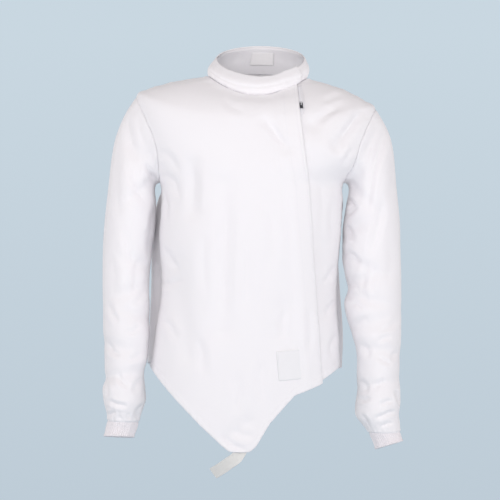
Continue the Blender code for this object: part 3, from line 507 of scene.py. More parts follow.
def lap_lift(angle, level):
    """How far the main front stands out near its free edge, where it lies over the zip."""
    edge = opening_angle(level)
    start = angle_beside(edge, level, -(LAP_WIDTH + LAP_RAMP))
    end = angle_beside(edge, level, -LAP_WIDTH)
    press_from = angle_beside(edge, level, LAP_PRESS_FROM)
    high, low = LAP_PRESS_BELOW
    pressed = ease((angle - press_from) / (edge - press_from)) * ease((high - body_point(edge, level)[..., 2]) / (high - low))
    return LAP_LIFT * ease((angle - start) / (end - start)) - LAP_PRESS * pressed


# %% Panel grids
ARMHOLE_HALF_ANGLE = math.radians(31)
YOKE_ROWS = 36
ARMHOLE_ROWS = 54
SKIRT_ROWS = 136
MAIN_COLUMNS = 124
LAP_COLUMNS = 18
LEFT_COLUMNS = 50
UNDER_COLUMNS = 8
BACK_COLUMNS = 132


def body_rows():
    turn = np.linspace(0, math.pi, ARMHOLE_ROWS + 1)
    return np.concatenate([np.linspace(0, 1, YOKE_ROWS + 1)[:-1], 1 + (1 - np.cos(turn)) / 2])


def side_angles():
    """How far round the body the panels' side edges lie, row by row, with the armholes cut out."""
    armhole = math.pi / 2 - ARMHOLE_HALF_ANGLE * np.sin(np.linspace(0, math.pi, ARMHOLE_ROWS + 1))
    seam = math.pi / 2
    return np.concatenate([np.full(YOKE_ROWS, seam), armhole, np.full(SKIRT_ROWS, seam)])[:, None]


def main_columns(side, level):
    """Angles of the main front, from the side seam to its free edge over the lap."""
    edge = opening_angle(level)
    start = angle_beside(edge, level, -LAP_WIDTH - LAP_RAMP)
    share = np.linspace(0, 1, MAIN_COLUMNS + 1)
    wide = -side * (1 - share) + start[:, :MAIN_COLUMNS + 1] * share
    lap = np.linspace(-LAP_WIDTH - LAP_RAMP, 0, LAP_COLUMNS + 1)[1:]
    return np.concatenate([wide, angle_beside(edge[:, -LAP_COLUMNS:], level[:, -LAP_COLUMNS:], lap)], axis=1)


def left_columns(side, level):
    """Angles of the left front, from its edge under the lap to the side seam."""
    edge = opening_angle(level)
    under = np.linspace(-UNDER_WIDTH, 0, UNDER_COLUMNS + 1)[:-1]
    share = np.linspace(0, 1, LEFT_COLUMNS + 1)
    hidden = angle_beside(edge[:, :UNDER_COLUMNS], level[:, :UNDER_COLUMNS], under)
    return np.concatenate([hidden, edge[:, UNDER_COLUMNS:] * (1 - share) + side * share], axis=1)


def back_columns(side, level):
    share = np.linspace(0, 1, level.shape[1])
    return (math.pi - side) * (1 - share) + (math.pi + side) * share


PANELS = {
    "front_main": (main_columns, MAIN_COLUMNS + LAP_COLUMNS + 1, 0.0),
    "front_left": (left_columns, UNDER_COLUMNS + LEFT_COLUMNS + 1, LEFT_HEM_RISE),
    "back": (back_columns, BACK_COLUMNS + 1, 0.0),
}


def panel_grid(name):
    """Angles and levels of a body panel, row by row from the neckline to the hem."""
    columns, count, rise = PANELS[name]
    upper = np.repeat(body_rows()[:, None], count, axis=1)
    down = np.linspace(0, 1, SKIRT_ROWS + 1)[1:, None]
    hem = np.full(count, level_of_height(BACK_HEM_Z))
    for _ in range(6):
        level = np.concatenate([upper, ARMPIT_LEVEL + down * (hem - ARMPIT_LEVEL)])
        angle = columns(side_angles(), level)
        hem = hem_level(angle[-1], rise)
    return angle, level


GRIDS = {name: panel_grid(name) for name in PANELS}
print("panel grids:", {name: grid[0].shape for name, grid in GRIDS.items()})

# %% [markdown]
# ## From a grid of points to a piece of cloth
# Cloth has two faces and an edge. A single surface would look like paper from the side, and a
# solidify modifier leaves square edges. So each grid becomes a shell: an outer skin, an inner skin
# behind it, and a rim that bulges a little, as a turned and pressed edge does. A map in metres goes
# with it, so that a weave keeps its real size on every piece.

# %% Distances on a grid
EDGE_TURNS = {
    "first": lambda grid: grid,
    "last": lambda grid: grid[:, ::-1],
    "top": lambda grid: np.swapaxes(grid, 0, 1),
    "bottom": lambda grid: np.swapaxes(grid[::-1], 0, 1),
}
EDGE_RETURNS = {
    "first": lambda grid: grid,
    "last": lambda grid: grid[:, ::-1],
    "top": lambda grid: np.swapaxes(grid, 0, 1),
    "bottom": lambda grid: np.swapaxes(grid, 0, 1)[::-1],
}


def run_along(points, axis):
    """The distance covered along the grid's lines, from their start."""
    steps = np.linalg.norm(np.diff(points, axis=axis), axis=-1)
    shape = list(steps.shape)
    shape[axis] = 1
    return np.concatenate([np.zeros(shape), np.cumsum(steps, axis=axis)], axis=axis)


def from_edge(points, edge):
    """Each point's distance from a named edge, and how far along that edge it lies."""
    turned = EDGE_TURNS[edge](points)
    away = run_along(turned, 1)
    along = np.repeat(run_along(turned[:, :1], 0), turned.shape[1], axis=1)
    return EDGE_RETURNS[edge](away), EDGE_RETURNS[edge](along)


def grid_normals(points, like, closed=False):
    """Normals of a grid, on the same side as the ones it is given."""
    if closed:
        around = np.roll(points, -1, axis=1) - np.roll(points, 1, axis=1)
    else:
        around = np.gradient(points, axis=1)
    normals = unit(np.cross(np.gradient(points, axis=0), around))
    side = np.sign(np.sum(normals * like, axis=-1, keepdims=True))
    return normals * np.where(side == 0, 1, side)


# %% Seams, hems and puckers
SEAM_PULL = 0.0007
SEAM_RIDGE = 0.0006
SEAM_RIDGE_PLACE = 0.0045
SEAM_RIDGE_WIDTH = 0.0030
PUCKER_LENGTH = 0.0125
HEM_BAND = 0.0135
HEM_LIFT = 0.0005


def uneven_wave(along, length, seed=0.0):
    """A wave whose length and height wander, between about -1 and 1."""
    slow = np.sin(2 * math.pi * along / (7.3 * length) + 1.7 * seed)
    quick = np.sin(2 * math.pi * along / length + 2.1 * slow + seed)
    return quick * (0.65 + 0.35 * np.sin(2 * math.pi * along / (4.1 * length) + 2.9 * seed))


def seam_relief(points, edge, strength=1.0, seed=0.0):
    """Cloth beside a stitched seam: drawn in at the seam, then a soft ridge that puckers."""
    away, along = from_edge(points, edge)
    pull = -SEAM_PULL * np.exp(-(away / 0.0016) ** 2)
    ridge = SEAM_RIDGE * np.exp(-((away - SEAM_RIDGE_PLACE) / SEAM_RIDGE_WIDTH) ** 2)
    pucker = 1 + 0.8 * strength * uneven_wave(along, PUCKER_LENGTH, seed)
    reach = 0.0008 * strength * uneven_wave(along, 2.3 * PUCKER_LENGTH, seed + 1) * np.exp(-away / 0.018)
    return pull + ridge * pucker + reach * ease(away / 0.004)


def hem_relief(points, edge, band=HEM_BAND, strength=1.0, seed=0.0):
    """A turned hem: a slightly raised band, a groove at its stitches, and slow puckers."""
    away, along = from_edge(points, edge)
    raised = HEM_LIFT * (1 - ease((away - band) / 0.0020))
    groove = -0.0005 * np.exp(-((away - band) / 0.0010) ** 2)
    pucker = 0.0005 * strength * uneven_wave(along, 1.6 * PUCKER_LENGTH, seed) * np.exp(-(away / band) ** 2)
    return raised + groove + pucker


# %% The shell builder
cloth_map = "cloth"


def boundary_rings(rows, columns, closed):
    """The grid's edges as rings of (row, column), each with its neighbour one step inside."""
    if closed:
        return [[((r, c), (i, c)) for c in range(columns)] for r, i in ((0, 1), (rows - 1, rows - 2))]
    last_r, last_c = rows - 1, columns - 1
    ring = [(0, c) for c in range(last_c)] + [(r, last_c) for r in range(last_r)]
    ring += [(last_r, c) for c in range(last_c, 0, -1)] + [(r, 0) for r in range(last_r, 0, -1)]
    return [[((r, c), (min(max(r, 1), last_r - 1), min(max(c, 1), last_c - 1))) for r, c in ring]]


def make_shell(name, outer, normals, thickness, finish, closed=False, body="jacket"):
    """A thin two-sided piece with a rounded rim, from its outer points."""
    rows, columns = outer.shape[:2]
    inner = outer - normals * thickness
    wrap = columns if closed else columns - 1
    r, c = (a.ravel() for a in np.meshgrid(np.arange(rows - 1), np.arange(wrap), indexing="ij"))
    after = (c + 1) % columns
    quads = np.stack([r * columns + c, (r + 1) * columns + c, (r + 1) * columns + after, r * columns + after], 1)
    count = rows * columns
    points = np.concatenate([outer.reshape(-1, 3), inner.reshape(-1, 3)])
    line = outer if not closed else np.concatenate([outer, outer[:, :1]], axis=1)
    u, v = run_along(line, 1), run_along(line, 0)
    u = u - u[:, u.shape[1] // 2][:, None]
    spots = np.stack([u, v], -1)
    flat = np.stack([spots[r, c], spots[r + 1, c], spots[r + 1, c + 1], spots[r, c + 1]], 1)
    faces = [quads, quads[:, ::-1] + count]
    maps = [flat, flat[:, ::-1]]
    for ring in boundary_rings(rows, columns, closed):
        edge = np.array([place for place, _ in ring])
        inside = np.array([place for _, place in ring])
        out_point = outer[edge[:, 0], edge[:, 1]]
        in_point = inner[edge[:, 0], edge[:, 1]]
        away = unit(out_point - outer[inside[:, 0], inside[:, 1]])
        middle = (out_point + in_point) / 2 + away * thickness / 2
        first = len(points)
        points = np.concatenate([points, middle])
        near = edge[:, 0] * columns + edge[:, 1]
        mid = first + np.arange(len(ring))
        spot = spots[edge[:, 0], edge[:, 1]]
        for one, two in ((near, mid), (mid, near + count)):
            faces.append(np.stack([one, np.roll(one, -1), np.roll(two, -1), two], 1))
            maps.append(np.stack([spot, np.roll(spot, -1, 0), np.roll(spot, -1, 0), spot], 1))
    faces = np.concatenate(faces)
    mesh = bpy.data.meshes.new(name)
    mesh.from_pydata(points.tolist(), [], faces.tolist())
    layer = mesh.uv_layers.new(name=cloth_map)
    layer.uv.foreach_set("vector", np.concatenate(maps).astype(np.float32).ravel())
    return add_piece(name, mesh, finish, body)


def add_piece(name, mesh, finish, body="jacket"):
    """Puts a mesh in the scene as a piece that rides on a body, with its finish and smooth faces."""
    turn_outward(mesh)
    mesh.shade_smooth()
    mesh.materials.append(FINISHES[finish])
    piece = bpy.data.objects.new(name, mesh)
    scene.collection.objects.link(piece)
    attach(piece, body)
    return piece


def turn_outward(mesh):
    """Makes every face's normal point out of the closed piece."""
    bm = bmesh.new()
    bm.from_mesh(mesh)
    bmesh.ops.recalc_face_normals(bm, faces=bm.faces)
    bm.to_mesh(mesh)
    bm.free()


# %% Stitches
STITCH_PITCH = 0.0030
STITCH_LENGTH = 0.0024
THREAD_RADIUS = 0.00024
STITCH_SIDES = 5
STITCH_RINGS = ((-0.50, 0.45, -0.5), (-0.30, 1.0, 0.35), (0.30, 1.0, 0.35), (0.50, 0.45, -0.5))


def line_beside(points, normals, edge, distance):
    """The line on a grid that keeps a distance from one of its edges, with its normals."""
    turned, facing = EDGE_TURNS[edge](points), EDGE_TURNS[edge](normals)
    away = run_along(turned, 1)
    places = np.array([[np.interp(distance, away[i], turned[i, :, k]) for k in range(3)] for i in range(len(turned))])
    ways = np.array([[np.interp(distance, away[i], facing[i, :, k]) for k in range(3)] for i in range(len(turned))])
    return places, unit(ways)


def stitch_row(line, normals, pitch=STITCH_PITCH):
    """Middle, direction and normal of each stitch along a line."""
    run = run_along(line[None], 1)[0]
    at = np.arange(pitch, run[-1] - pitch / 2, pitch)
    middle = np.stack([np.interp(at, run, line[:, k]) for k in range(3)], -1)
    ahead = np.stack([np.interp(at + pitch / 2, run, line[:, k]) for k in range(3)], -1)
    way = np.stack([np.interp(at, run, normals[:, k]) for k in range(3)], -1)
    return middle, unit(ahead - middle), unit(way)


def make_stitches(name, rows, finish="thread", length=STITCH_LENGTH, radius=THREAD_RADIUS):
    """One mesh with every stitch of a piece: short rounded bars that dip into the cloth."""
    middle, along, up = (np.concatenate(parts) for parts in zip(*rows))
    across = np.cross(up, along)
    turn = np.arange(STITCH_SIDES) * 2 * math.pi / STITCH_SIDES
    corners = []
    for place, size, height_share in STITCH_RINGS:
        for t in turn:
            corners.append((place * length, size * radius * math.cos(t), radius * (height_share + size * math.sin(t))))
    corners = np.array(corners)
    points = (middle[:, None] + along[:, None] * corners[None, :, :1] + across[:, None] * corners[None, :, 1:2]
              + up[:, None] * corners[None, :, 2:])
    faces = []
    for ring in range(len(STITCH_RINGS) - 1):
        for side in range(STITCH_SIDES):
            a, b = ring * STITCH_SIDES + side, ring * STITCH_SIDES + (side + 1) % STITCH_SIDES
            faces.append((a, b, b + STITCH_SIDES, a + STITCH_SIDES))
    ends = [tuple(range(STITCH_SIDES))[::-1], tuple(range(len(corners) - STITCH_SIDES, len(corners)))]
    every = [tuple(v + first for v in face) for first in range(0, len(middle) * len(corners), len(corners))
             for face in faces + ends]
    mesh = bpy.data.meshes.new(name)
    mesh.from_pydata(points.reshape(-1, 3).tolist(), [], every)
    print(name, len(middle), "stitches")
    return add_piece(name, mesh, finish)


# %% [markdown]
# ## Finishes
# Protective cloth is woven so tightly that it looks like satin from a step away, and a fine diagonal
# shows only close up. Painting it as an image would blur or repeat. Here a small group of nodes makes
# the weave from the map in metres, and one more makes the slow, slight change of tone that any
# washed white cloth has, and paints shade into the gaps between the threads. Each finish places the
# groups with its own numbers.

# %% Node group: weave
def new_group(name, inputs, outputs):
    """A shader node group with named sockets, and its input and output nodes."""
    tree = bpy.data.node_groups.new(name, "ShaderNodeTree")
    for label, kind, value in inputs:
        socket = tree.interface.new_socket(name=label, in_out="INPUT", socket_type=kind)
        if value is not None:
            socket.default_value = value
    for label, kind in outputs:
        tree.interface.new_socket(name=label, in_out="OUTPUT", socket_type=kind)
    return tree, node(tree, "NodeGroupInput"), node(tree, "NodeGroupOutput")


def maths(tree, operation, first, second=None):
    """A Math node fed by sockets or by plain numbers."""
    made = node(tree, "ShaderNodeMath", operation=operation)
    for slot, value in enumerate((first, second)):
        if value is None:
            continue
        if isinstance(value, (int, float)):
            made.inputs[slot].default_value = value
        else:
            tree.links.new(value, made.inputs[slot])
    return made.outputs["Value"]


weave, weave_in, weave_out = new_group(
    "weave",
    [("Map", "NodeSocketVector", None), ("Threads per mm", "NodeSocketFloat", 2.0),
     ("Diagonal", "NodeSocketFloat", 0.5), ("Slub", "NodeSocketFloat", 0.3)],
    [("Height", "NodeSocketFloat"), ("Gap", "NodeSocketFloat")],
)
weave_xyz = node(weave, "ShaderNodeSeparateXYZ")
weave.links.new(weave_in.outputs["Map"], weave_xyz.inputs["Vector"])
per_metre = maths(weave, "MULTIPLY", weave_in.outputs["Threads per mm"], 1000.0)
warp = maths(weave, "MULTIPLY", weave_xyz.outputs["X"], per_metre)
weft = maths(weave, "MULTIPLY", weave_xyz.outputs["Y"], per_metre)
lean = maths(weave, "MULTIPLY", weft, weave_in.outputs["Diagonal"])
warp_wave = maths(weave, "SINE", maths(weave, "MULTIPLY", maths(weave, "ADD", warp, lean), 2 * math.pi))
weft_wave = maths(weave, "SINE", maths(weave, "MULTIPLY", weft, 2 * math.pi))
crossing = maths(weave, "MULTIPLY", maths(weave, "ABSOLUTE", warp_wave), maths(weave, "ABSOLUTE", weft_wave))
slub_noise = node(weave, "ShaderNodeTexNoise", Scale=900.0, Detail=2.0)
weave.links.new(weave_in.outputs["Map"], slub_noise.inputs["Vector"])
slub = maths(weave, "MULTIPLY", slub_noise.outputs["Fac"], weave_in.outputs["Slub"])
weave.links.new(maths(weave, "ADD", crossing, slub), weave_out.inputs["Height"])
# Gap marks the spaces between the threads, where the tone group puts painted shade.
weave.links.new(maths(weave, "SUBTRACT", 1.0, crossing), weave_out.inputs["Gap"])

# %% Node group: tone
# Shade is a darker colour. It is mixed in at random patches for the cloth's own change of tone, and in the weave's
# gaps as painted shade between the threads.
tone, tone_in, tone_out = new_group(
    "tone",
    [("Colour", "NodeSocketColor", (0.9, 0.9, 0.9, 1)), ("Shade", "NodeSocketColor", (0.8, 0.8, 0.85, 1)),
     ("Gap", "NodeSocketFloat", 0.0), ("Gap strength", "NodeSocketFloat", 0.1),
     ("Patch size", "NodeSocketFloat", 0.12), ("Patch strength", "NodeSocketFloat", 0.2)],
    [("Colour", "NodeSocketColor"), ("Patch", "NodeSocketFloat")],
)
tone_place = node(tone, "ShaderNodeTexCoord")
tone_noise = node(tone, "ShaderNodeTexNoise", Detail=3.0, Roughness=0.5)
tone.links.new(tone_place.outputs["Object"], tone_noise.inputs["Vector"])
tone.links.new(maths(tone, "DIVIDE", 1.0, tone_in.outputs["Patch size"]), tone_noise.inputs["Scale"])
patch = maths(tone, "MULTIPLY", tone_noise.outputs["Fac"], tone_in.outputs["Patch strength"])
# Painted shade: the gaps between the threads are darkened towards the Shade colour.
thin = maths(tone, "MULTIPLY", tone_in.outputs["Gap"], tone_in.outputs["Gap strength"])
tone_mix = node(tone, "ShaderNodeMix", data_type="RGBA")
tone.links.new(maths(tone, "MINIMUM", maths(tone, "ADD", patch, thin), 1.0), tone_mix.inputs["Factor"])
tone.links.new(tone_in.outputs["Colour"], tone_mix.inputs["A"])
tone.links.new(tone_in.outputs["Shade"], tone_mix.inputs["B"])
tone.links.new(tone_mix.outputs["Result"], tone_out.inputs["Colour"])
tone.links.new(tone_noise.outputs["Fac"], tone_out.inputs["Patch"])

# %% Cloth finishes
# shade is the darker colour that the tone group mixes in at random patches, and as painted shade in the weave's gaps.
CLOTH_COLUMNS = ("slot", "colour", "shade", "roughness", "sheen", "threads_per_mm", "diagonal", "slub",
                 "bump_mm", "patch_size", "patch_strength")
CLOTHS = (
    ("jacket_cloth", (0.95, 0.935, 0.955), (0.905, 0.888, 0.918), 0.50, 0.12, 1.6, 0.5, 0.25, 0.05, 0.16, 0.25),
    ("collar_cloth", (0.945, 0.93, 0.95), (0.89, 0.875, 0.905), 0.50, 0.12, 1.6, 0.5, 0.25, 0.05, 0.10, 0.25),
    ("cuff_knit", (0.93, 0.900, 0.925), (0.86, 0.82, 0.86), 0.85, 0.35, 0.9, 0.0, 0.60, 0.14, 0.05, 0.35),
    ("lining_satin", (0.88, 0.875, 0.905), (0.78, 0.775, 0.82), 0.28, 0.05, 3.0, 0.25, 0.10, 0.02, 0.06, 0.30),
    ("label_weave", (0.93, 0.925, 0.94), (0.84, 0.835, 0.86), 0.60, 0.10, 2.2, 0.0, 0.30, 0.06, 0.05, 0.20),
    ("zip_tape_weave", (0.90, 0.89, 0.92), (0.78, 0.77, 0.82), 0.60, 0.10, 1.8, 1.0, 0.20, 0.08, 0.05, 0.20),
    ("strap_elastic", (0.92, 0.905, 0.87), (0.78, 0.765, 0.735), 0.75, 0.15, 1.1, 0.0, 0.40, 0.15, 0.04, 0.40),
)
FINISHES = {}


def base_material(name, roughness, metallic=0.0):
    material = bpy.data.materials.new(name)
    material.use_nodes = True
    tree = material.node_tree
    shader = tree.nodes["Principled BSDF"]
    shader.inputs["Roughness"].default_value = roughness
    shader.inputs["Metallic"].default_value = metallic
    FINISHES[name] = material
    return tree, shader


def make_cloth_finish(row):
    values = dict(zip(CLOTH_COLUMNS, row))
    tree, shader = base_material(values["slot"], values["roughness"])
    shader.inputs["Sheen Weight"].default_value = values["sheen"]
    shader.inputs["Specular IOR Level"].default_value = 0.35
    where = node(tree, "ShaderNodeUVMap", uv_map=cloth_map)
    threads = node(tree, "ShaderNodeGroup", node_tree=weave)
    threads.inputs["Threads per mm"].default_value = values["threads_per_mm"]
    threads.inputs["Diagonal"].default_value = values["diagonal"]
    threads.inputs["Slub"].default_value = values["slub"]
    tint = node(tree, "ShaderNodeGroup", node_tree=tone)
    tint.inputs["Colour"].default_value = (*values["colour"], 1)
    tint.inputs["Shade"].default_value = (*values["shade"], 1)
    tint.inputs["Patch size"].default_value = values["patch_size"]
    tint.inputs["Patch strength"].default_value = values["patch_strength"]
    bump = node(tree, "ShaderNodeBump", Strength=0.6, Distance=values["bump_mm"] / 1000)
    tree.links.new(where.outputs["UV"], threads.inputs["Map"])
    # The weave's gaps get painted shade.
    tree.links.new(threads.outputs["Gap"], tint.inputs["Gap"])
    tree.links.new(threads.outputs["Height"], bump.inputs["Height"])
    tree.links.new(bump.outputs["Normal"], shader.inputs["Normal"])
    tree.links.new(tint.outputs["Colour"], shader.inputs["Base Color"])


for cloth_row in CLOTHS:
    make_cloth_finish(cloth_row)
print("cloth finishes:", sorted(FINISHES))

# %% [markdown]
# Thread, the slider's lacquer and the pull tab's plastic need no weave. They get a fine grain from
# noise in the object's own space, which puts no demand on a map.

# %% Thread, lacquer and plastic
GRAIN_COLUMNS = ("finish", "colour", "shade", "roughness", "metallic", "grain_size", "grain_mm")
GRAINS = (
    ("thread", (0.93, 0.93, 0.95), (0.80, 0.80, 0.84), 0.55, 0.0, 0.0004, 0.05),
    ("slider_metal", (0.78, 0.79, 0.82), (0.62, 0.63, 0.66), 0.30, 0.35, 0.0008, 0.02),
    ("pull_plastic", (0.030, 0.030, 0.038), (0.060, 0.060, 0.070), 0.42, 0.0, 0.0006, 0.02),
)


def make_grain_finish(row):
    values = dict(zip(GRAIN_COLUMNS, row))
    tree, shader = base_material(values["finish"], values["roughness"], values["metallic"])
    place = node(tree, "ShaderNodeTexCoord")
    grain = node(tree, "ShaderNodeTexNoise", Scale=1 / values["grain_size"], Detail=2.0)
    mix = node(tree, "ShaderNodeMix", data_type="RGBA")
    bump = node(tree, "ShaderNodeBump", Strength=0.5, Distance=values["grain_mm"] / 1000)
    mix.inputs["A"].default_value = (*values["colour"], 1)
    mix.inputs["B"].default_value = (*values["shade"], 1)
    tree.links.new(place.outputs["Object"], grain.inputs["Vector"])
    tree.links.new(grain.outputs["Fac"], mix.inputs["Factor"])
    tree.links.new(mix.outputs["Result"], shader.inputs["Base Color"])
    tree.links.new(grain.outputs["Fac"], bump.inputs["Height"])
    tree.links.new(bump.outputs["Normal"], shader.inputs["Normal"])


for grain_row in GRAINS:
    make_grain_finish(grain_row)

# %% [markdown]
# ## The fronts and the back
# Each panel is read from the body's surface, then worked over as a seamstress would: drawn in beside
# its seams, raised where the hem is turned, and stitched. The main front's free edge and the hem are
# finished edges, so they keep their line; the other edges are seams, drawn back by half their rim so
# that two neighbours touch without crossing.

# %% Making a panel
CLOTH = 0.0016
SEAM_BITE = 0.0004
TOPSTITCH = 0.0032
INSIDE_STEP = 1


def pulled_in(points, normals, edges, distance, closed=False):
    """The points with the named edges drawn back from their seams."""
    moved = points.copy()
    for edge in edges:
        turned, facing = EDGE_TURNS[edge](points), EDGE_TURNS[edge](normals)
        line = turned[:, 0]
        if closed:
            tangent = np.roll(line, -1, axis=0) - np.roll(line, 1, axis=0)
        else:
            tangent = np.gradient(line, axis=0)
        into = unit(np.cross(facing[:, 0], tangent))
        into *= np.sign(np.sum(into * (turned[:, INSIDE_STEP] - line), axis=-1, keepdims=True))
        EDGE_TURNS[edge](moved)[:, 0] += into * distance
    return moved


def make_panel(name, lift, seams, finished):
    """A body panel as a shell. finished gives each finished edge its band."""
    angle, level = GRIDS[name]
    base = body_cloth(angle, level, lift)
    facing = body_normal(angle, level)
    relief = np.zeros(angle.shape)
    for seed, edge in enumerate(seams):
        relief += seam_relief(base, edge, seed=seed + len(name))
    for seed, (edge, band) in enumerate(finished.items()):
        relief += hem_relief(base, edge, band, seed=seed + 2.0)
    points = base + facing * relief[..., None]
    points = pulled_in(points, facing, seams, CLOTH / 2 - SEAM_BITE)
    normals = grid_normals(points, facing)
    piece = make_shell(name + "_cloth", points, normals, CLOTH, "jacket_cloth")
    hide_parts(name)
    return piece, points, normals


def skirt_and_hole(points, normals, edge, distance):
    """The line beside a side edge in two parts: along the armhole, and down the side seam."""
    line, facing = line_beside(points, normals, edge, distance)
    hole = slice(YOKE_ROWS, YOKE_ROWS + ARMHOLE_ROWS + 1)
    skirt = slice(YOKE_ROWS + ARMHOLE_ROWS, None)
    return [(line[part], facing[part]) for part in (hole, skirt)]


# %% Main front
LAP_BAND = 0.0065
main_lift = lap_lift(*GRIDS["front_main"])
main_front, main_points, main_normals = make_panel(
    "front_main", main_lift, ("top", "first"), {"bottom": HEM_BAND, "last": LAP_BAND})
main_rows = [stitch_row(*part) for part in skirt_and_hole(main_points, main_normals, "first", TOPSTITCH)]
main_rows += [
    stitch_row(*line_beside(main_points, main_normals, "top", TOPSTITCH)),
    stitch_row(*line_beside(main_points, main_normals, "bottom", HEM_BAND)),
    stitch_row(*line_beside(main_points, main_normals, "last", LAP_BAND)),
    stitch_row(*line_beside(main_points, main_normals, "last", LAP_WIDTH - 0.002)),
]
main_stitches = make_stitches("front_main_stitches", main_rows)

# %% Left front
left_front, left_points, left_normals = make_panel(
    "front_left", np.zeros(GRIDS["front_left"][0].shape), ("top", "last"), {"bottom": HEM_BAND})
left_rows = [stitch_row(*part) for part in skirt_and_hole(left_points, left_normals, "last", TOPSTITCH)]
left_rows += [
    stitch_row(*line_beside(left_points, left_normals, "top", TOPSTITCH)),
    stitch_row(*line_beside(left_points, left_normals, "bottom", HEM_BAND)),
]
left_stitches = make_stitches("front_left_stitches", left_rows)

# %% Back
back_panel, back_points, back_normals = make_panel(
    "back", np.zeros(GRIDS["back"][0].shape), ("top", "first", "last"), {"bottom": HEM_BAND})
back_rows = []
for side_edge in ("first", "last"):
    back_rows += [stitch_row(*part) for part in skirt_and_hole(back_points, back_normals, side_edge, TOPSTITCH)]
back_rows += [
    stitch_row(*line_beside(back_points, back_normals, "top", TOPSTITCH)),
    stitch_row(*line_beside(back_points, back_normals, "bottom", HEM_BAND)),
]
back_stitches = make_stitches("back_stitches", back_rows)

# %% [markdown]
# ## Sleeves
# A set-in sleeve starts on the armhole and turns down into a tube. Its sections are short rows: where
# the tube's outer and inner side lie as the photo shows them, and how deep it is. Between the armhole
# and the first section the cloth follows a curve that leaves the body at right angles to the hole.

# %% Sleeve form
SLEEVE_COLUMNS = ("x_outer", "z_outer", "x_inner", "z_inner", "y", "half_depth")
SLEEVE_RIGHT = (
    (-0.275, -0.190, -0.1840, -0.224, 0.004, 0.066),
    (-0.282, -0.255, -0.1860, -0.268, 0.002, 0.064),
    (-0.285, -0.310, -0.1925, -0.316, -0.002, 0.061),
    (-0.285, -0.374, -0.1955, -0.376, -0.008, 0.058),
    (-0.284, -0.428, -0.1955, -0.428, -0.015, 0.056),
    (-0.283, -0.469, -0.1955, -0.467, -0.022, 0.055),
    (-0.280, -0.508, -0.1980, -0.508, -0.029, 0.052),
    (-0.280, -0.540, -0.2050, -0.540, -0.035, 0.049),
    (-0.283, -0.570, -0.2025, -0.570, -0.040, 0.050),
    (-0.280, -0.594, -0.2015, -0.590, -0.044, 0.048),
    (-0.275, -0.612, -0.2080, -0.610, -0.047, 0.041),
    (-0.273, -0.628, -0.2145, -0.630, -0.049, 0.034),
)
SLEEVE_LEFT = (
    (0.273, -0.190, 0.1770, -0.224, 0.004, 0.066),
    (0.279, -0.255, 0.1705, -0.268, 0.002, 0.064),
    (0.280, -0.310, 0.1680, -0.316, -0.002, 0.062),
    (0.281, -0.352, 0.1740, -0.352, -0.006, 0.060),
    (0.281, -0.380, 0.1760, -0.380, -0.009, 0.059),
    (0.281, -0.414, 0.1730, -0.414, -0.013, 0.058),
    (0.280, -0.467, 0.1855, -0.467, -0.021, 0.0565),
    (0.278, -0.503, 0.1955, -0.503, -0.027, 0.0545),
    (0.276, -0.540, 0.1955, -0.540, -0.033, 0.0525),
    (0.277, -0.573, 0.1945, -0.578, -0.039, 0.0510),
    (0.277, -0.596, 0.1920, -0.600, -0.043, 0.0495),
    (0.274, -0.616, 0.1925, -0.618, -0.047, 0.0445),
    (0.276, -0.634, 0.2040, -0.634, -0.049, 0.0385),
    (0.276, -0.649, 0.2170, -0.650, -0.051, 0.033),
)
HEAD_HANDLE = 0.40
HEAD_FULLNESS = 1.1


def armhole_place(turn, side):
    """The body's angle and level at a turn round an armhole: 0 shoulder point, a quarter front."""
    return side * (math.pi / 2 - ARMHOLE_HALF_ANGLE * np.sin(turn)), 1 + (1 - np.cos(turn)) / 2


def armhole_point(turn, side):
    return body_cloth(*armhole_place(turn, side))


def section_point(rows, turn, station):
    """A point of a tube given by sections, at a turn round it and a station along it."""
    knots = np.arange(len(rows), dtype=float)
    value = {name: smooth(knots, column(rows, SLEEVE_COLUMNS, name), station) for name in SLEEVE_COLUMNS}
    out, round_front = np.cos(turn), np.sin(turn)
    x = (value["x_outer"] + value["x_inner"]) / 2 + (value["x_outer"] - value["x_inner"]) / 2 * out
    z = (value["z_outer"] + value["z_inner"]) / 2 + (value["z_outer"] - value["z_inner"]) / 2 * out
    return np.stack([x, value["y"] - value["half_depth"] * round_front, z], axis=-1)


def sleeve_surface(rows, side):
    """The sleeve before its folds. Station -1 is the armhole and 0 the first section."""

    def head_point(turn, station):
        t = np.clip(station + 1, 0, 1)[..., None]
        small = 1e-2
        start = armhole_point(turn, side)
        end = section_point(rows, turn, np.zeros_like(station))
        round_hole = unit(armhole_point(turn + small, side) - armhole_point(turn - small, side))
        out_of_body = unit(np.cross(round_hole, body_normal(*armhole_place(turn, side)))) * -side
        chord = end - start
        reach = np.linalg.norm(chord, axis=-1, keepdims=True)
        sideways = np.array([side * HEAD_FULLNESS, 0.0, 0.0]) * np.abs(np.cos(turn))[..., None]
        leave = unit(out_of_body + unit(chord) + sideways) * reach * HEAD_HANDLE
        down = unit(section_point(rows, turn, np.full_like(station, small)) - end) * reach * HEAD_HANDLE
        return (start * (1 - t) ** 3 + 3 * (start + leave) * (1 - t) ** 2 * t
                + 3 * (end - down) * (1 - t) * t ** 2 + end * t ** 3)

    def surface(turn, station):
        turn, station = np.broadcast_arrays(np.asarray(turn, dtype=float), np.asarray(station, dtype=float))
        arm = section_point(rows, turn, np.maximum(station, 0))
        return np.where((station < 0)[..., None], head_point(turn, station), arm)

    return surface


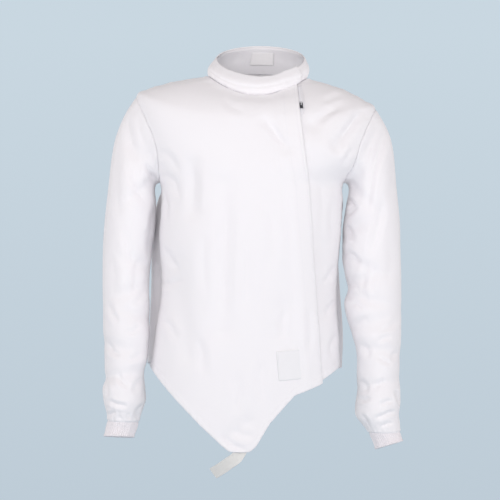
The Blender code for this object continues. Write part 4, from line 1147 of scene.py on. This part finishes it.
# %% Sleeve folds and creases
# The turn share runs round the sleeve: 0 outer, a quarter front, half inner, three quarters behind.
BAND_COLUMNS = ("z", "turn_share", "half_span", "slant", "half_width", "depth")
SLEEVE_RIGHT_FOLDS = (
    (-0.120, 0.20, 0.14, 0.25, 0.020, 0.0045),
    (-0.190, 0.34, 0.12, -0.20, 0.014, 0.0050),
    (-0.335, 0.36, 0.13, 0.10, 0.013, 0.0045),
    (-0.385, 0.30, 0.16, -0.08, 0.013, 0.0050),
    (-0.430, 0.36, 0.14, 0.08, 0.012, 0.0045),
    (-0.490, 0.20, 0.20, 0.05, 0.013, 0.0045),
    (-0.545, 0.12, 0.25, -0.04, 0.011, 0.0045),
    (-0.400, 0.72, 0.18, 0.06, 0.014, 0.0050),
    (-0.470, 0.74, 0.16, -0.06, 0.013, 0.0045),
)
SLEEVE_LEFT_FOLDS = (
    (-0.110, 0.20, 0.14, 0.25, 0.020, 0.0045),
    (-0.200, 0.36, 0.12, -0.22, 0.014, 0.0055),
    (-0.270, 0.38, 0.12, 0.15, 0.013, 0.0050),
    (-0.330, 0.36, 0.15, -0.12, 0.013, 0.0055),
    (-0.366, 0.38, 0.14, 0.06, 0.011, 0.0060),
    (-0.398, 0.34, 0.16, -0.06, 0.011, 0.0060),
    (-0.445, 0.30, 0.18, 0.08, 0.013, 0.0055),
    (-0.495, 0.24, 0.20, -0.05, 0.013, 0.0050),
    (-0.560, 0.30, 0.22, 0.04, 0.012, 0.0045),
    (-0.400, 0.72, 0.18, 0.06, 0.014, 0.0050),
    (-0.470, 0.74, 0.16, -0.06, 0.013, 0.0045),
)
# Creases are read like the body's: as bent lines in mm, seen from the front or from behind.
SLEEVE_RIGHT_CREASES = (
    (((-238, -38), (-236, -72), (-230, -110), (-213, -148)), 8, 3.6),
    (((-215, -46), (-213, -80), (-203, -118)), 7, 2.4),
    (((-203, -144), (-192, -163), (-175, -188)), 4.5, 5),
    (((-196, -118), (-186, -144), (-175, -167)), 5, 3),
    (((-232, -137), (-220, -182), (-205, -213), (-192, -238)), 7, 3.6),
    (((-255, -99), (-258, -156), (-255, -222), (-245, -270)), 9, 2.4),
    (((-177, -205), (-188, -243), (-194, -289), (-198, -331)), 6, 4.5),
    (((-180, -255), (-194, -272), (-209, -281)), 5, 3),
    (((-238, -262), (-232, -308), (-218, -350)), 7, 2.6),
    (((-203, -308), (-217, -342), (-220, -372), (-209, -399)), 6, 3.2),
    (((-268, -308), (-260, -355), (-264, -403)), 8, 2),
    (((-198, -380), (-215, -403), (-230, -414)), 5, 2.8),
    (((-274, -403), (-264, -426), (-249, -446)), 5, 2.8),
    (((-207, -445), (-224, -460), (-239, -460)), 5, 2.8),
    (((-277, -479), (-264, -498), (-245, -507)), 4.5, 3.2),
    (((-205, -498), (-218, -509), (-238, -513)), 5, 2.6),
    (((-256, -534), (-245, -551), (-228, -566)), 4.5, 3.2),
    (((-205, -543), (-217, -559), (-222, -578)), 5, 2.6),
    (((-277, -551), (-272, -570), (-276, -585)), 4, 2.6),
    (((-274, -587), (-253, -595), (-230, -598)), 4, 3.8),
    (((-203, -593), (-215, -608), (-218, -627)), 4, 3),
    (((-277, -619), (-266, -614), (-255, -608)), 3.5, 2.8),
    (((-249, -612), (-245, -631), (-249, -646)), 4, 2.2),
    (((-232, -608), (-230, -627)), 3.5, 2),
)
SLEEVE_LEFT_CREASES = (
    (((253, -68), (239, -118), (224, -163), (217, -207), (215, -230), (196, -247)), 6.5, 4.6),
    (((224, -57), (203, -86), (190, -114), (182, -144)), 5, 3.4),
    (((238, -65), (224, -99), (211, -137)), 6, 2.6),
    (((184, -144), (173, -171), (169, -194), (177, -207)), 4.5, 4.8),
    (((173, -203), (184, -217), (190, -228), (173, -249)), 4.5, 5),
    (((171, -256), (180, -276), (192, -293)), 4.5, 4.4),
    (((175, -308), (188, -319), (196, -338)), 5, 3.6),
    (((264, -118), (264, -175), (256, -222)), 9, 2.4),
    (((245, -205), (236, -255), (224, -300), (218, -331)), 7, 3.8),
    (((217, -323), (207, -357), (203, -384), (211, -410)), 6, 3.8),
    (((256, -281), (260, -331), (253, -380)), 9, 2.2),
    (((234, -331), (222, -365), (218, -395)), 7, 2.6),
    (((177, -369), (192, -376), (203, -395)), 4.5, 3.4),
    (((177, -414), (190, -408), (207, -418)), 4.5, 3.6),
    (((186, -452), (203, -437), (218, -437)), 4.5, 3.2),
    (((276, -437), (256, -452), (234, -460)), 5, 3),
    (((230, -481), (245, -471), (262, -469)), 4.5, 3.4),
    (((198, -483), (211, -494), (215, -513)), 5, 3),
    (((228, -504), (243, -513), (262, -522)), 4.5, 3.4),
    (((276, -498), (264, -505), (256, -517)), 4, 2.6),
    (((222, -562), (236, -555), (249, -549)), 4.5, 3.6),
    (((196, -547), (207, -559), (209, -578)), 4.5, 2.8),
    (((264, -566), (272, -583), (277, -600)), 4, 3.4),
    (((194, -587), (207, -587), (220, -581)), 4, 3.4),
    (((232, -597), (249, -589), (262, -589)), 4, 3.2),
    (((200, -610), (209, -625), (218, -644)), 4, 3.2),
    (((222, -623), (245, -614), (270, -606)), 4, 3.8),
    (((234, -638), (249, -631), (264, -629)), 3.5, 2.6),
)
SLEEVE_RIGHT_BACK = (
    (((-236, -44), (-240, -90), (-232, -140)), 8, 3.2),
    (((-214, -80), (-210, -118), (-202, -150)), 7, 3.0),
    (((-206, -168), (-196, -190), (-190, -214)), 5, 4.0),
    (((-252, -130), (-256, -190), (-248, -250)), 9, 2.4),
    (((-226, -180), (-216, -230), (-204, -262)), 7, 3.4),
    (((-204, -300), (-222, -322), (-246, -330)), 6, 3.6),
    (((-262, -336), (-240, -348), (-214, -350)), 6, 3.6),
    (((-206, -376), (-226, -372), (-252, -388)), 5, 3.4),
    (((-268, -420), (-250, -430), (-228, -426)), 5, 3.0),
    (((-208, -446), (-226, -456), (-246, -474)), 6, 3.0),
    (((-270, -500), (-248, -506), (-230, -520)), 5, 3.2),
    (((-212, -544), (-230, -552), (-256, -548)), 5, 3.2),
    (((-272, -578), (-252, -586), (-232, -582)), 4, 3.2),
    (((-212, -596), (-222, -606), (-236, -610)), 4, 2.8),
)
SLEEVE_LEFT_BACK = (
    (((240, -50), (246, -96), (236, -150)), 8, 3.2),
    (((212, -88), (206, -124), (198, -156)), 7, 3.0),
    (((200, -172), (190, -194), (184, -222)), 5, 4.0),
    (((256, -140), (260, -210), (252, -262)), 9, 2.4),
    (((222, -190), (208, -236), (196, -270)), 7, 3.4),
    (((190, -310), (210, -328), (238, -332)), 6, 3.6),
    (((262, -352), (236, -362), (206, -360)), 6, 3.8),
    (((188, -392), (212, -386), (244, -398)), 5, 3.6),
    (((268, -430), (246, -442), (220, -436)), 5, 3.0),
    (((200, -462), (220, -470), (242, -490)), 6, 3.0),
    (((266, -516), (242, -520), (224, -536)), 5, 3.2),
    (((204, -560), (224, -570), (250, -564)), 5, 3.2),
    (((268, -596), (248, -606), (226, -600)), 4, 3.2),
    (((210, -616), (222, -626), (238, -630)), 4, 2.8),
)


def sleeve_fold_depth(points, turn, folds):
    total = np.zeros(turn.shape)
    share = turn / (2 * math.pi)
    for z, middle, half_span, slant, half_width, depth in folds:
        away = (share - middle + 0.5) % 1.0 - 0.5
        off = points[..., 2] - z + slant * away
        total += depth * np.exp(-(off / half_width) ** 2 - (away / half_span) ** 2)
    return total


def sleeve_depth(points, turn, folds, front_creases, back_creases):
    """All folds and creases of a sleeve. Those seen along the view fade out towards its sides."""
    toward = np.sin(turn)
    creases = np.where(toward > 0, crease_depth(points, front_creases), crease_depth(points, back_creases))
    return sleeve_fold_depth(points, turn, folds) + creases * ease(2.2 * np.abs(toward))


# %% Making a sleeve
SLEEVE_AROUND = 160
SLEEVE_HEAD_ROWS = 54
SLEEVE_ARM_ROWS = 168
GATHER_REACH = 0.024
GATHER_DEPTH = 0.0008
GATHERS = 17


def make_sleeve(name, rows, side, folds, front_creases, back_creases):
    turn = np.linspace(0, 2 * math.pi, SLEEVE_AROUND, endpoint=False)
    station = np.concatenate([np.linspace(-1, 0, SLEEVE_HEAD_ROWS + 1),
                              np.linspace(0, len(rows) - 1, SLEEVE_ARM_ROWS + 1)[1:]])
    turn, station = np.meshgrid(turn, station)
    surface = sleeve_surface(rows, side)
    base = surface(turn, station)
    small = 1e-3
    facing = surface_normals(surface, turn, np.clip(station, -1 + small, len(rows) - 1 - small)) * -side
    seam = body_normal(*armhole_place(turn, side))
    share = ease((station + 1) / 0.25)[..., None]
    facing = unit(seam * (1 - share) + facing * share)
    fading = ease((station + 1) / 0.25) * ease(2 * (len(rows) - 1 - station))
    depth = sleeve_depth(base, turn, folds, front_creases, back_creases) * fading
    to_cuff, _ = from_edge(base, "bottom")
    gathered = GATHER_DEPTH * uneven_wave(turn, 2 * math.pi / GATHERS, seed=side) * np.exp(-to_cuff / GATHER_REACH)
    relief = seam_relief(base, "top", 0.6, seed=side) + seam_relief(base, "bottom", 0.6, seed=2 + side)
    points = base + facing * (relief - depth + gathered * ease(to_cuff / 0.004))[..., None]
    points = pulled_in(points, facing, ("top", "bottom"), CLOTH / 2 - SEAM_BITE, closed=True)
    normals = grid_normals(points, facing, closed=True)
    piece = make_shell(name + "_cloth", points, normals, CLOTH, "jacket_cloth", closed=True)
    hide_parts(name)
    line, ways = line_beside(points, normals, "bottom", TOPSTITCH)
    ring = stitch_row(np.concatenate([line, line[:1]]), np.concatenate([ways, ways[:1]]))
    stitches = make_stitches(name + "_stitches", [ring])
    return piece, stitches


right_sleeve, right_sleeve_stitches = make_sleeve(
    "sleeve_right", SLEEVE_RIGHT, -1, SLEEVE_RIGHT_FOLDS, SLEEVE_RIGHT_CREASES, SLEEVE_RIGHT_BACK)
left_sleeve, left_sleeve_stitches = make_sleeve(
    "sleeve_left", SLEEVE_LEFT, 1, SLEEVE_LEFT_FOLDS, SLEEVE_LEFT_CREASES, SLEEVE_LEFT_BACK)

# %% [markdown]
# ## Cuffs
# The cuffs are a soft rib knit: columns of stitches that stand out and columns that sink in. The ribs
# show from a step away, so they are real relief round the tube, and only the loops between them are
# left to the finish. The free edge rolls outward a little, as knit does.

# %% Making a cuff
CUFF_RIGHT = (
    SLEEVE_RIGHT[-1],
    (-0.2760, -0.640, -0.2170, -0.642, -0.051, 0.0310),
    (-0.2790, -0.656, -0.2235, -0.658, -0.053, 0.0320),
)
CUFF_LEFT = (
    SLEEVE_LEFT[-1],
    (0.2780, -0.657, 0.2235, -0.664, -0.053, 0.0305),
    (0.2800, -0.665, 0.2295, -0.680, -0.055, 0.0315),
)
CUFF_THICKNESS = 0.0024
CUFF_RIBS = 44
CUFF_STEPS_PER_RIB = 6
CUFF_ROWS = 22
RIB_DEPTH = 0.00055
CUFF_TUCK = 0.0030
CUFF_TILT = 0.12


def make_cuff(name, rows, side):
    turn = np.linspace(0, 2 * math.pi, CUFF_RIBS * CUFF_STEPS_PER_RIB, endpoint=False)
    turn, station = np.meshgrid(turn, np.linspace(0, len(rows) - 1, CUFF_ROWS + 1))

    def surface(a, b):
        return section_point(rows, a, b)

    small = 1e-3
    facing = surface_normals(surface, turn, np.clip(station, small, len(rows) - 1 - small)) * -side
    base = surface(turn, station)
    tilt = CUFF_TILT * (base[-1, :, 1] - base[-1, :, 1].mean())
    base[..., 2] -= ease(station / (len(rows) - 1)) * tilt
    ribs = RIB_DEPTH * (np.sin(CUFF_RIBS * turn + 0.5 * np.sin(3 * turn + station)) - 0.4)
    from_sleeve, _ = from_edge(base, "top")
    to_end, _ = from_edge(base, "bottom")
    roll = 0.0012 * np.exp(-(to_end / 0.0030) ** 2)
    drawn = -0.0010 * np.exp(-(from_sleeve / 0.0020) ** 2)
    sag = 0.0008 * uneven_wave(turn, 2 * math.pi / 9, seed=side) * ease(from_sleeve / 0.006)
    points = base + facing * (ribs * ease(from_sleeve / 0.002) + roll + drawn + sag)[..., None]
    points = pulled_in(points, facing, ("top",), -CUFF_TUCK, closed=True)
    normals = grid_normals(points, facing, closed=True)
    piece = make_shell(name + "_knit", points, normals, CUFF_THICKNESS, "cuff_knit", closed=True)
    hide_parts(name)
    print(name, "ribs", CUFF_RIBS)
    return piece


right_cuff = make_cuff("cuff_right", CUFF_RIGHT, -1)
left_cuff = make_cuff("cuff_left", CUFF_LEFT, 1)

# %% [markdown]
# ## The collar
# A fencing collar stands high to guard the throat, lower in front than behind. It is cut as a curved
# band, doubled and top-stitched along its edge, and it laps at the opening with the main front. Its
# lower edge is made from the very points of the body's neckline, so the two can't drift apart.

# %% Collar form
COLLAR_TOP = {"right": -0.069, "left": 0.098, "front": 0.060, "back": 0.083}
COLLAR_TOP_FRONT_Z = 0.017
COLLAR_TOP_BACK_Z = 0.087
COLLAR_SWELL = 0.008
COLLAR_SEAM_BITE = 0.0010
COLLAR_BASE_SHARE = 0.2
COLLAR_TUCK = 0.0025
COLLAR_TUCK_RAMP = 0.012
COLLAR_ROWS = 30
COLLAR_BAND = 0.0060
COLLAR_RISE_POWER = 0.85
COLLAR_SWELL_POWER = 0.9


def collar_point(angle, height):
    """A point of the collar: height 0 on the neckline, 1 at the top edge."""
    angle, height = np.broadcast_arrays(np.asarray(angle, dtype=float), np.asarray(height, dtype=float))
    base = body_point(angle, np.zeros(angle.shape))
    middle = (COLLAR_TOP["left"] + COLLAR_TOP["right"]) / 2
    half = (COLLAR_TOP["left"] - COLLAR_TOP["right"]) / 2
    depth = np.where(np.cos(angle) > 0, COLLAR_TOP["front"], COLLAR_TOP["back"])
    rise = ((1 - np.cos(angle)) / 2) ** COLLAR_RISE_POWER
    top = np.stack([middle + half * np.sin(angle), -depth * np.cos(angle),
                    COLLAR_TOP_FRONT_Z + (COLLAR_TOP_BACK_Z - COLLAR_TOP_FRONT_Z) * rise], axis=-1)
    outward = np.stack([np.sin(angle), -np.cos(angle), np.zeros(angle.shape)], axis=-1)
    share = height[..., None]
    return base * (1 - share) + top * share + outward * COLLAR_SWELL * np.sin(math.pi * share) ** COLLAR_SWELL_POWER


def collar_normal(angle, height):
    return surface_normals(collar_point, angle, np.clip(height, 2e-3, 1 - 2e-3), inward=True)


def collar_tuck(angle, level):
    """How far the collar's end under the lap is drawn in, so that it clears the main front."""
    edge = opening_angle(level)
    clear = angle_beside(edge, level, COLLAR_TUCK_RAMP)
    return COLLAR_TUCK * (1 - ease((angle + 2 * math.pi - edge) / (clear - edge)))


def collar_cloth(angle, height):
    """Points and normals of the collar's outer face, joined to the neckline below."""
    neckline = np.zeros(angle.shape)
    lift = lap_lift(angle, neckline)
    normals = collar_normal(angle, height)
    points = collar_point(angle, height) + normals * (lift - collar_tuck(angle, neckline))[..., None]
    seam = body_cloth(angle, neckline, lift) - np.array([0.0, 0.0, COLLAR_SEAM_BITE])
    share = ease(height / COLLAR_BASE_SHARE)[..., None]
    return seam * (1 - share) + points * share, normals


def collar_angles():
    """Once round the neck, from the lap's edge to the end under it, at the columns of the panels."""
    neck = {name: GRIDS[name][0][0] for name in PANELS}
    turn = 2 * math.pi
    return np.concatenate([neck["front_main"][::-1], neck["back"][::-1][1:] - turn,
                           neck["front_left"][::-1][1:] - turn])


# %% Collar
collar_angle, collar_height = np.meshgrid(collar_angles(), np.linspace(1, 0, COLLAR_ROWS + 1))
collar_base, collar_facing = collar_cloth(collar_angle, collar_height)
collar_down, collar_round = from_edge(collar_base, "top")
collar_up, _ = from_edge(collar_base, "bottom")
collar_slack = 0.0009 * uneven_wave(collar_round, 0.055, seed=0.4) * np.sin(math.pi * collar_height)
collar_crease = -0.0014 * np.exp(-((collar_height - 0.42 - 0.05 * np.sin(3 * collar_angle)) / 0.09) ** 2)
collar_crease *= ease(2 * np.cos(collar_angle))
collar_relief = (hem_relief(collar_base, "top", COLLAR_BAND, 0.5, seed=1.0)
                 + hem_relief(collar_base, "first", LAP_BAND, 0.5, seed=2.0)
                 + seam_relief(collar_base, "bottom", 0.7, seed=3.0) + collar_slack + collar_crease)
collar_points = collar_base + collar_facing * collar_relief[..., None]
collar_normals = grid_normals(collar_points, collar_facing)
collar = make_shell("collar_cloth", collar_points, collar_normals, CLOTH, "collar_cloth")
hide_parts("collar")
collar_rows = [
    stitch_row(*line_beside(collar_points, collar_normals, "top", COLLAR_BAND)),
    stitch_row(*line_beside(collar_points, collar_normals, "top", COLLAR_BAND - 0.0035)),
    stitch_row(*line_beside(collar_points, collar_normals, "first", LAP_BAND)),
    stitch_row(*line_beside(collar_points, collar_normals, "bottom", TOPSTITCH)),
]
collar_stitches = make_stitches("collar_stitches", collar_rows)

# %% [markdown]
# ## Lining and labels
# Inside the collar lies a smooth, slightly shiny lining, with a small woven label at the back. Both
# are made from the collar's own points, moved inward by its thickness and a hair more. The label and
# the patch above the hem are read from the surface they are sewn to, so they bend with it.

# %% Collar lining
LINING_FROM = math.radians(2)
LINING_TO = math.radians(-277)
LINING_HEIGHT = (0.925, 0.075)
LINING = 0.0009
LINING_GAP = 0.0003
LINING_COLUMNS = 150
LINING_ROWS = 22

lining_angle, lining_height = np.meshgrid(np.linspace(LINING_FROM, LINING_TO, LINING_COLUMNS + 1),
                                          np.linspace(*LINING_HEIGHT, LINING_ROWS + 1))
lining_base, lining_facing = collar_cloth(lining_angle, lining_height)
_, lining_round = from_edge(lining_base, "top")
lining_slack = 0.0004 * (uneven_wave(lining_round, 0.021, seed=0.9) - 1) * np.sin(math.pi * lining_height)
lining_points = lining_base - lining_facing * (CLOTH + LINING_GAP + 0.0006 - lining_slack)[..., None]
lining_normals = grid_normals(lining_points, lining_facing)
lining = make_shell("collar_lining_satin", lining_points, lining_normals, LINING, "lining_satin")
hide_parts("collar_lining")

# %% Neck label
NECK_LABEL = {"angle": math.radians(-184), "half_angle": math.radians(14), "low": 0.34, "high": 0.80}
LABEL = 0.0010
LABEL_GAP = 0.0004
LABEL_BORDER = 0.0018

neck_angle, neck_height = np.meshgrid(
    NECK_LABEL["angle"] + NECK_LABEL["half_angle"] * np.linspace(1, -1, 31),
    np.linspace(NECK_LABEL["high"], NECK_LABEL["low"], 21))
neck_base, neck_facing = collar_cloth(neck_angle, neck_height)
neck_depth = CLOTH + LINING_GAP + LINING + LABEL_GAP + LABEL + 0.0014
neck_label_points = neck_base - neck_facing * neck_depth
neck_label_normals = grid_normals(neck_label_points, -neck_facing)
neck_label = make_shell("neck_label_patch", neck_label_points, neck_label_normals, LABEL, "label_weave")
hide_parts("neck_label")
neck_label_rows = [stitch_row(*line_beside(neck_label_points, neck_label_normals, edge, LABEL_BORDER), 0.0022)
                   for edge in EDGE_TURNS]
neck_label_stitches = make_stitches("neck_label_stitches", neck_label_rows, length=0.0017)

# %% Hem label
HEM_LABEL = {"x": 0.069, "z": -0.520, "width": 0.047, "height": 0.054, "lean": math.radians(5)}


def body_place(x, z):
    """The angle and level of a point of the front below the armpits, from its x and z."""
    level = level_of_height(z)
    right, left = body_value("right", level), body_value("left", level)
    return angle_of_share((x - (left + right) / 2) / ((left - right) / 2), level), level


label_across, label_down = np.meshgrid(np.linspace(-0.5, 0.5, 33) * HEM_LABEL["width"],
                                       np.linspace(0.5, -0.5, 37) * HEM_LABEL["height"])
label_angle, label_level = body_place(
    HEM_LABEL["x"] + label_across * math.cos(HEM_LABEL["lean"]) - label_down * math.sin(HEM_LABEL["lean"]),
    HEM_LABEL["z"] + label_across * math.sin(HEM_LABEL["lean"]) + label_down * math.cos(HEM_LABEL["lean"]))
label_facing = body_normal(label_angle, label_level)
label_base = body_cloth(label_angle, label_level, LABEL_GAP + LABEL)
hem_label_normals = grid_normals(label_base, label_facing)
hem_label = make_shell("hem_label_patch", label_base, hem_label_normals, LABEL, "label_weave")
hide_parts("hem_label")
hem_label_rows = [stitch_row(*line_beside(label_base, hem_label_normals, edge, LABEL_BORDER), 0.0022)
                  for edge in EDGE_TURNS]
hem_label_stitches = make_stitches("hem_label_stitches", hem_label_rows, length=0.0017)

# %% [markdown]
# ## The zip
# The zip is sewn under the lap and comes out beside it only near the neck, where its slider rests.
# Its tape is a thin strip and its coil a row of small rounded bars. The slider and its pull tab are
# hard pieces that the frame already has in their true form, so they only get their finishes.

# %% Tape and coil
TAPE = 0.0007
TAPE_GAP = 0.0006
TAPE_HALF_WIDTH = 0.0070
ZIP_HIDDEN_OFFSET = -0.0105
ZIP_TOP_OFFSET = 0.0040
ZIP_TURNS_OUT = (-0.075, -0.045)
COIL_PITCH = 0.0015
COIL_WIDTH = 0.0042
COIL_RADIUS = 0.00045


def zip_middle(level):
    """The zip's line, hidden under the lap and turning out beside its edge near the neck."""
    edge = opening_angle(level)
    low, high = ZIP_TURNS_OUT
    turned = ease((body_point(edge, level)[..., 2] - low) / (high - low))
    return angle_beside(edge, level, ZIP_HIDDEN_OFFSET + (ZIP_TOP_OFFSET - ZIP_HIDDEN_OFFSET) * turned)


tape_across = np.linspace(-1, 1, 9) * TAPE_HALF_WIDTH
tape_level = np.repeat(GRIDS["front_left"][1][2:-2, :1], len(tape_across), axis=1)
tape_angle = angle_beside(zip_middle(tape_level), tape_level, tape_across)
tape_points = body_cloth(tape_angle, tape_level, TAPE_GAP + TAPE)
tape_normals = grid_normals(tape_points, body_normal(tape_angle, tape_level))
zip_tape = make_shell("zip_tape_strip", tape_points, tape_normals, TAPE, "zip_tape_weave")
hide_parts("zip_tape")
coil_middle, coil_along, coil_up = stitch_row(tape_points[:, 4], tape_normals[:, 4], COIL_PITCH)
coil_row = (coil_middle, np.cross(coil_up, coil_along), coil_up)
zip_coil = make_stitches("zip_coil", [coil_row], length=COIL_WIDTH, radius=COIL_RADIUS)

# %% Slider and pull tab
for node_name, finish in (("zip_slider", "slider_metal"), ("zip_pull", "pull_plastic")):
    hard_mesh = frame["nodes"][node_name].data
    hard_mesh.materials.clear()
    hard_mesh.materials.append(FINISHES[finish])

# %% [markdown]
# ## The crotch strap
# Behind the tongue's point a flat elastic strap is sewn on. On the wearer it goes between the legs to
# the back hem. Here it hangs free and curves to the side, as the photo shows. It is a flat ribbon
# along a short line, with fine lengthwise cords woven into it.

# %% Strap
STRAP_COLUMNS = ("x", "behind", "z")
STRAP_LINE = (
    (-0.0100, 0.0000, -0.6500),
    (-0.0160, 0.0000, -0.6640),
    (-0.0290, 0.0035, -0.6890),
    (-0.0450, 0.0130, -0.7025),
    (-0.0610, 0.0280, -0.7150),
    (-0.0750, 0.0460, -0.7250),
)
STRAP_WIDTH = 0.022
STRAP = 0.0016
STRAP_ROWS = 70
STRAP_ACROSS = 45
STRAP_CORDS = 11
STRAP_CORD_DEPTH = 0.00025

strap_station = np.linspace(0, len(STRAP_LINE) - 1, STRAP_ROWS + 1)
strap_knots = np.arange(len(STRAP_LINE), dtype=float)
strap_line = np.stack([smooth(strap_knots, column(STRAP_LINE, STRAP_COLUMNS, name), strap_station)
                       for name in STRAP_COLUMNS], axis=-1)
strap_line[:, 1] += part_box("crotch_strap")[0].y
strap_along = unit(np.gradient(strap_line, axis=0))
strap_facing = unit(np.cross(strap_along, np.cross(np.array([0.0, -1.0, 0.0]), strap_along)))
strap_side = np.cross(strap_along, strap_facing)
strap_share = np.linspace(-0.5, 0.5, STRAP_ACROSS)
strap_points = strap_line[:, None] + strap_side[:, None] * (strap_share * STRAP_WIDTH)[None, :, None]
strap_relief = STRAP_CORD_DEPTH * (np.cos(2 * math.pi * STRAP_CORDS * strap_share) - 1)
strap_points = strap_points + strap_facing[:, None] * strap_relief[None, :, None]
strap_normals = grid_normals(strap_points, np.repeat(strap_facing[:, None], STRAP_ACROSS, axis=1))
strap = make_shell("crotch_strap_elastic", strap_points, strap_normals, STRAP, "strap_elastic")
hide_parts("crotch_strap")

# %% [markdown]
# ## What each piece was cut from
# Cloth is bought flat, so each sheet states the size that it was cut to and its area where it isn't a
# rectangle. A tube's width is all the way round it.

# %% Printing each piece's cut size
def cut_size(piece):
    """Width, length and area that the piece was cut to, read from its cloth map, which is in metres."""
    mesh = piece.data
    spots = np.zeros(len(mesh.loops) * 2, np.float32)
    mesh.uv_layers[cloth_map].uv.foreach_get("vector", spots)
    spots = spots.reshape(-1, 2).astype(float)
    mesh.calc_loop_triangles()
    corners = np.zeros(len(mesh.loop_triangles) * 3, np.int32)
    mesh.loop_triangles.foreach_get("loops", corners)
    first, second, third = spots[corners.reshape(-1, 3)].transpose(1, 0, 2)
    across, along = (second - first).T, (third - first).T
    both_sides = np.abs(across[0] * along[1] - across[1] * along[0]).sum() / 2
    width, length = np.ptp(spots, axis=0)
    return float(width), float(length), float(both_sides / 2)


# piece, how it is held, what it lies on, its small pieces
SHEETS = (
    (main_front, "hung", ["front_left"], [main_stitches]),
    (left_front, "hung", [], [left_stitches]),
    (back_panel, "hung", [], [back_stitches]),
    (right_sleeve, "hung", [], [right_sleeve_stitches]),
    (left_sleeve, "hung", [], [left_sleeve_stitches]),
    (right_cuff, "gathered", [], []),
    (left_cuff, "gathered", [], []),
    (collar, "stretched", [], [collar_stitches]),
    (lining, "laid", ["collar"], []),
    (neck_label, "laid", ["collar_lining"], [neck_label_stitches]),
    (hem_label, "laid", ["front_main"], [hem_label_stitches]),
    (zip_tape, "laid", ["front_left"], [zip_coil]),
    (strap, "hung", ["front_main"], []),
)
for piece, held, rests_on, with_pieces in SHEETS:
    width, length, area = cut_size(piece)
    modelled = sum(face.area for face in piece.data.polygons) / 2
    print(f"{piece.name}: cut {width:.4f} x {length:.4f} m, {area:.5f} m2, modelled {modelled:.5f} m2")
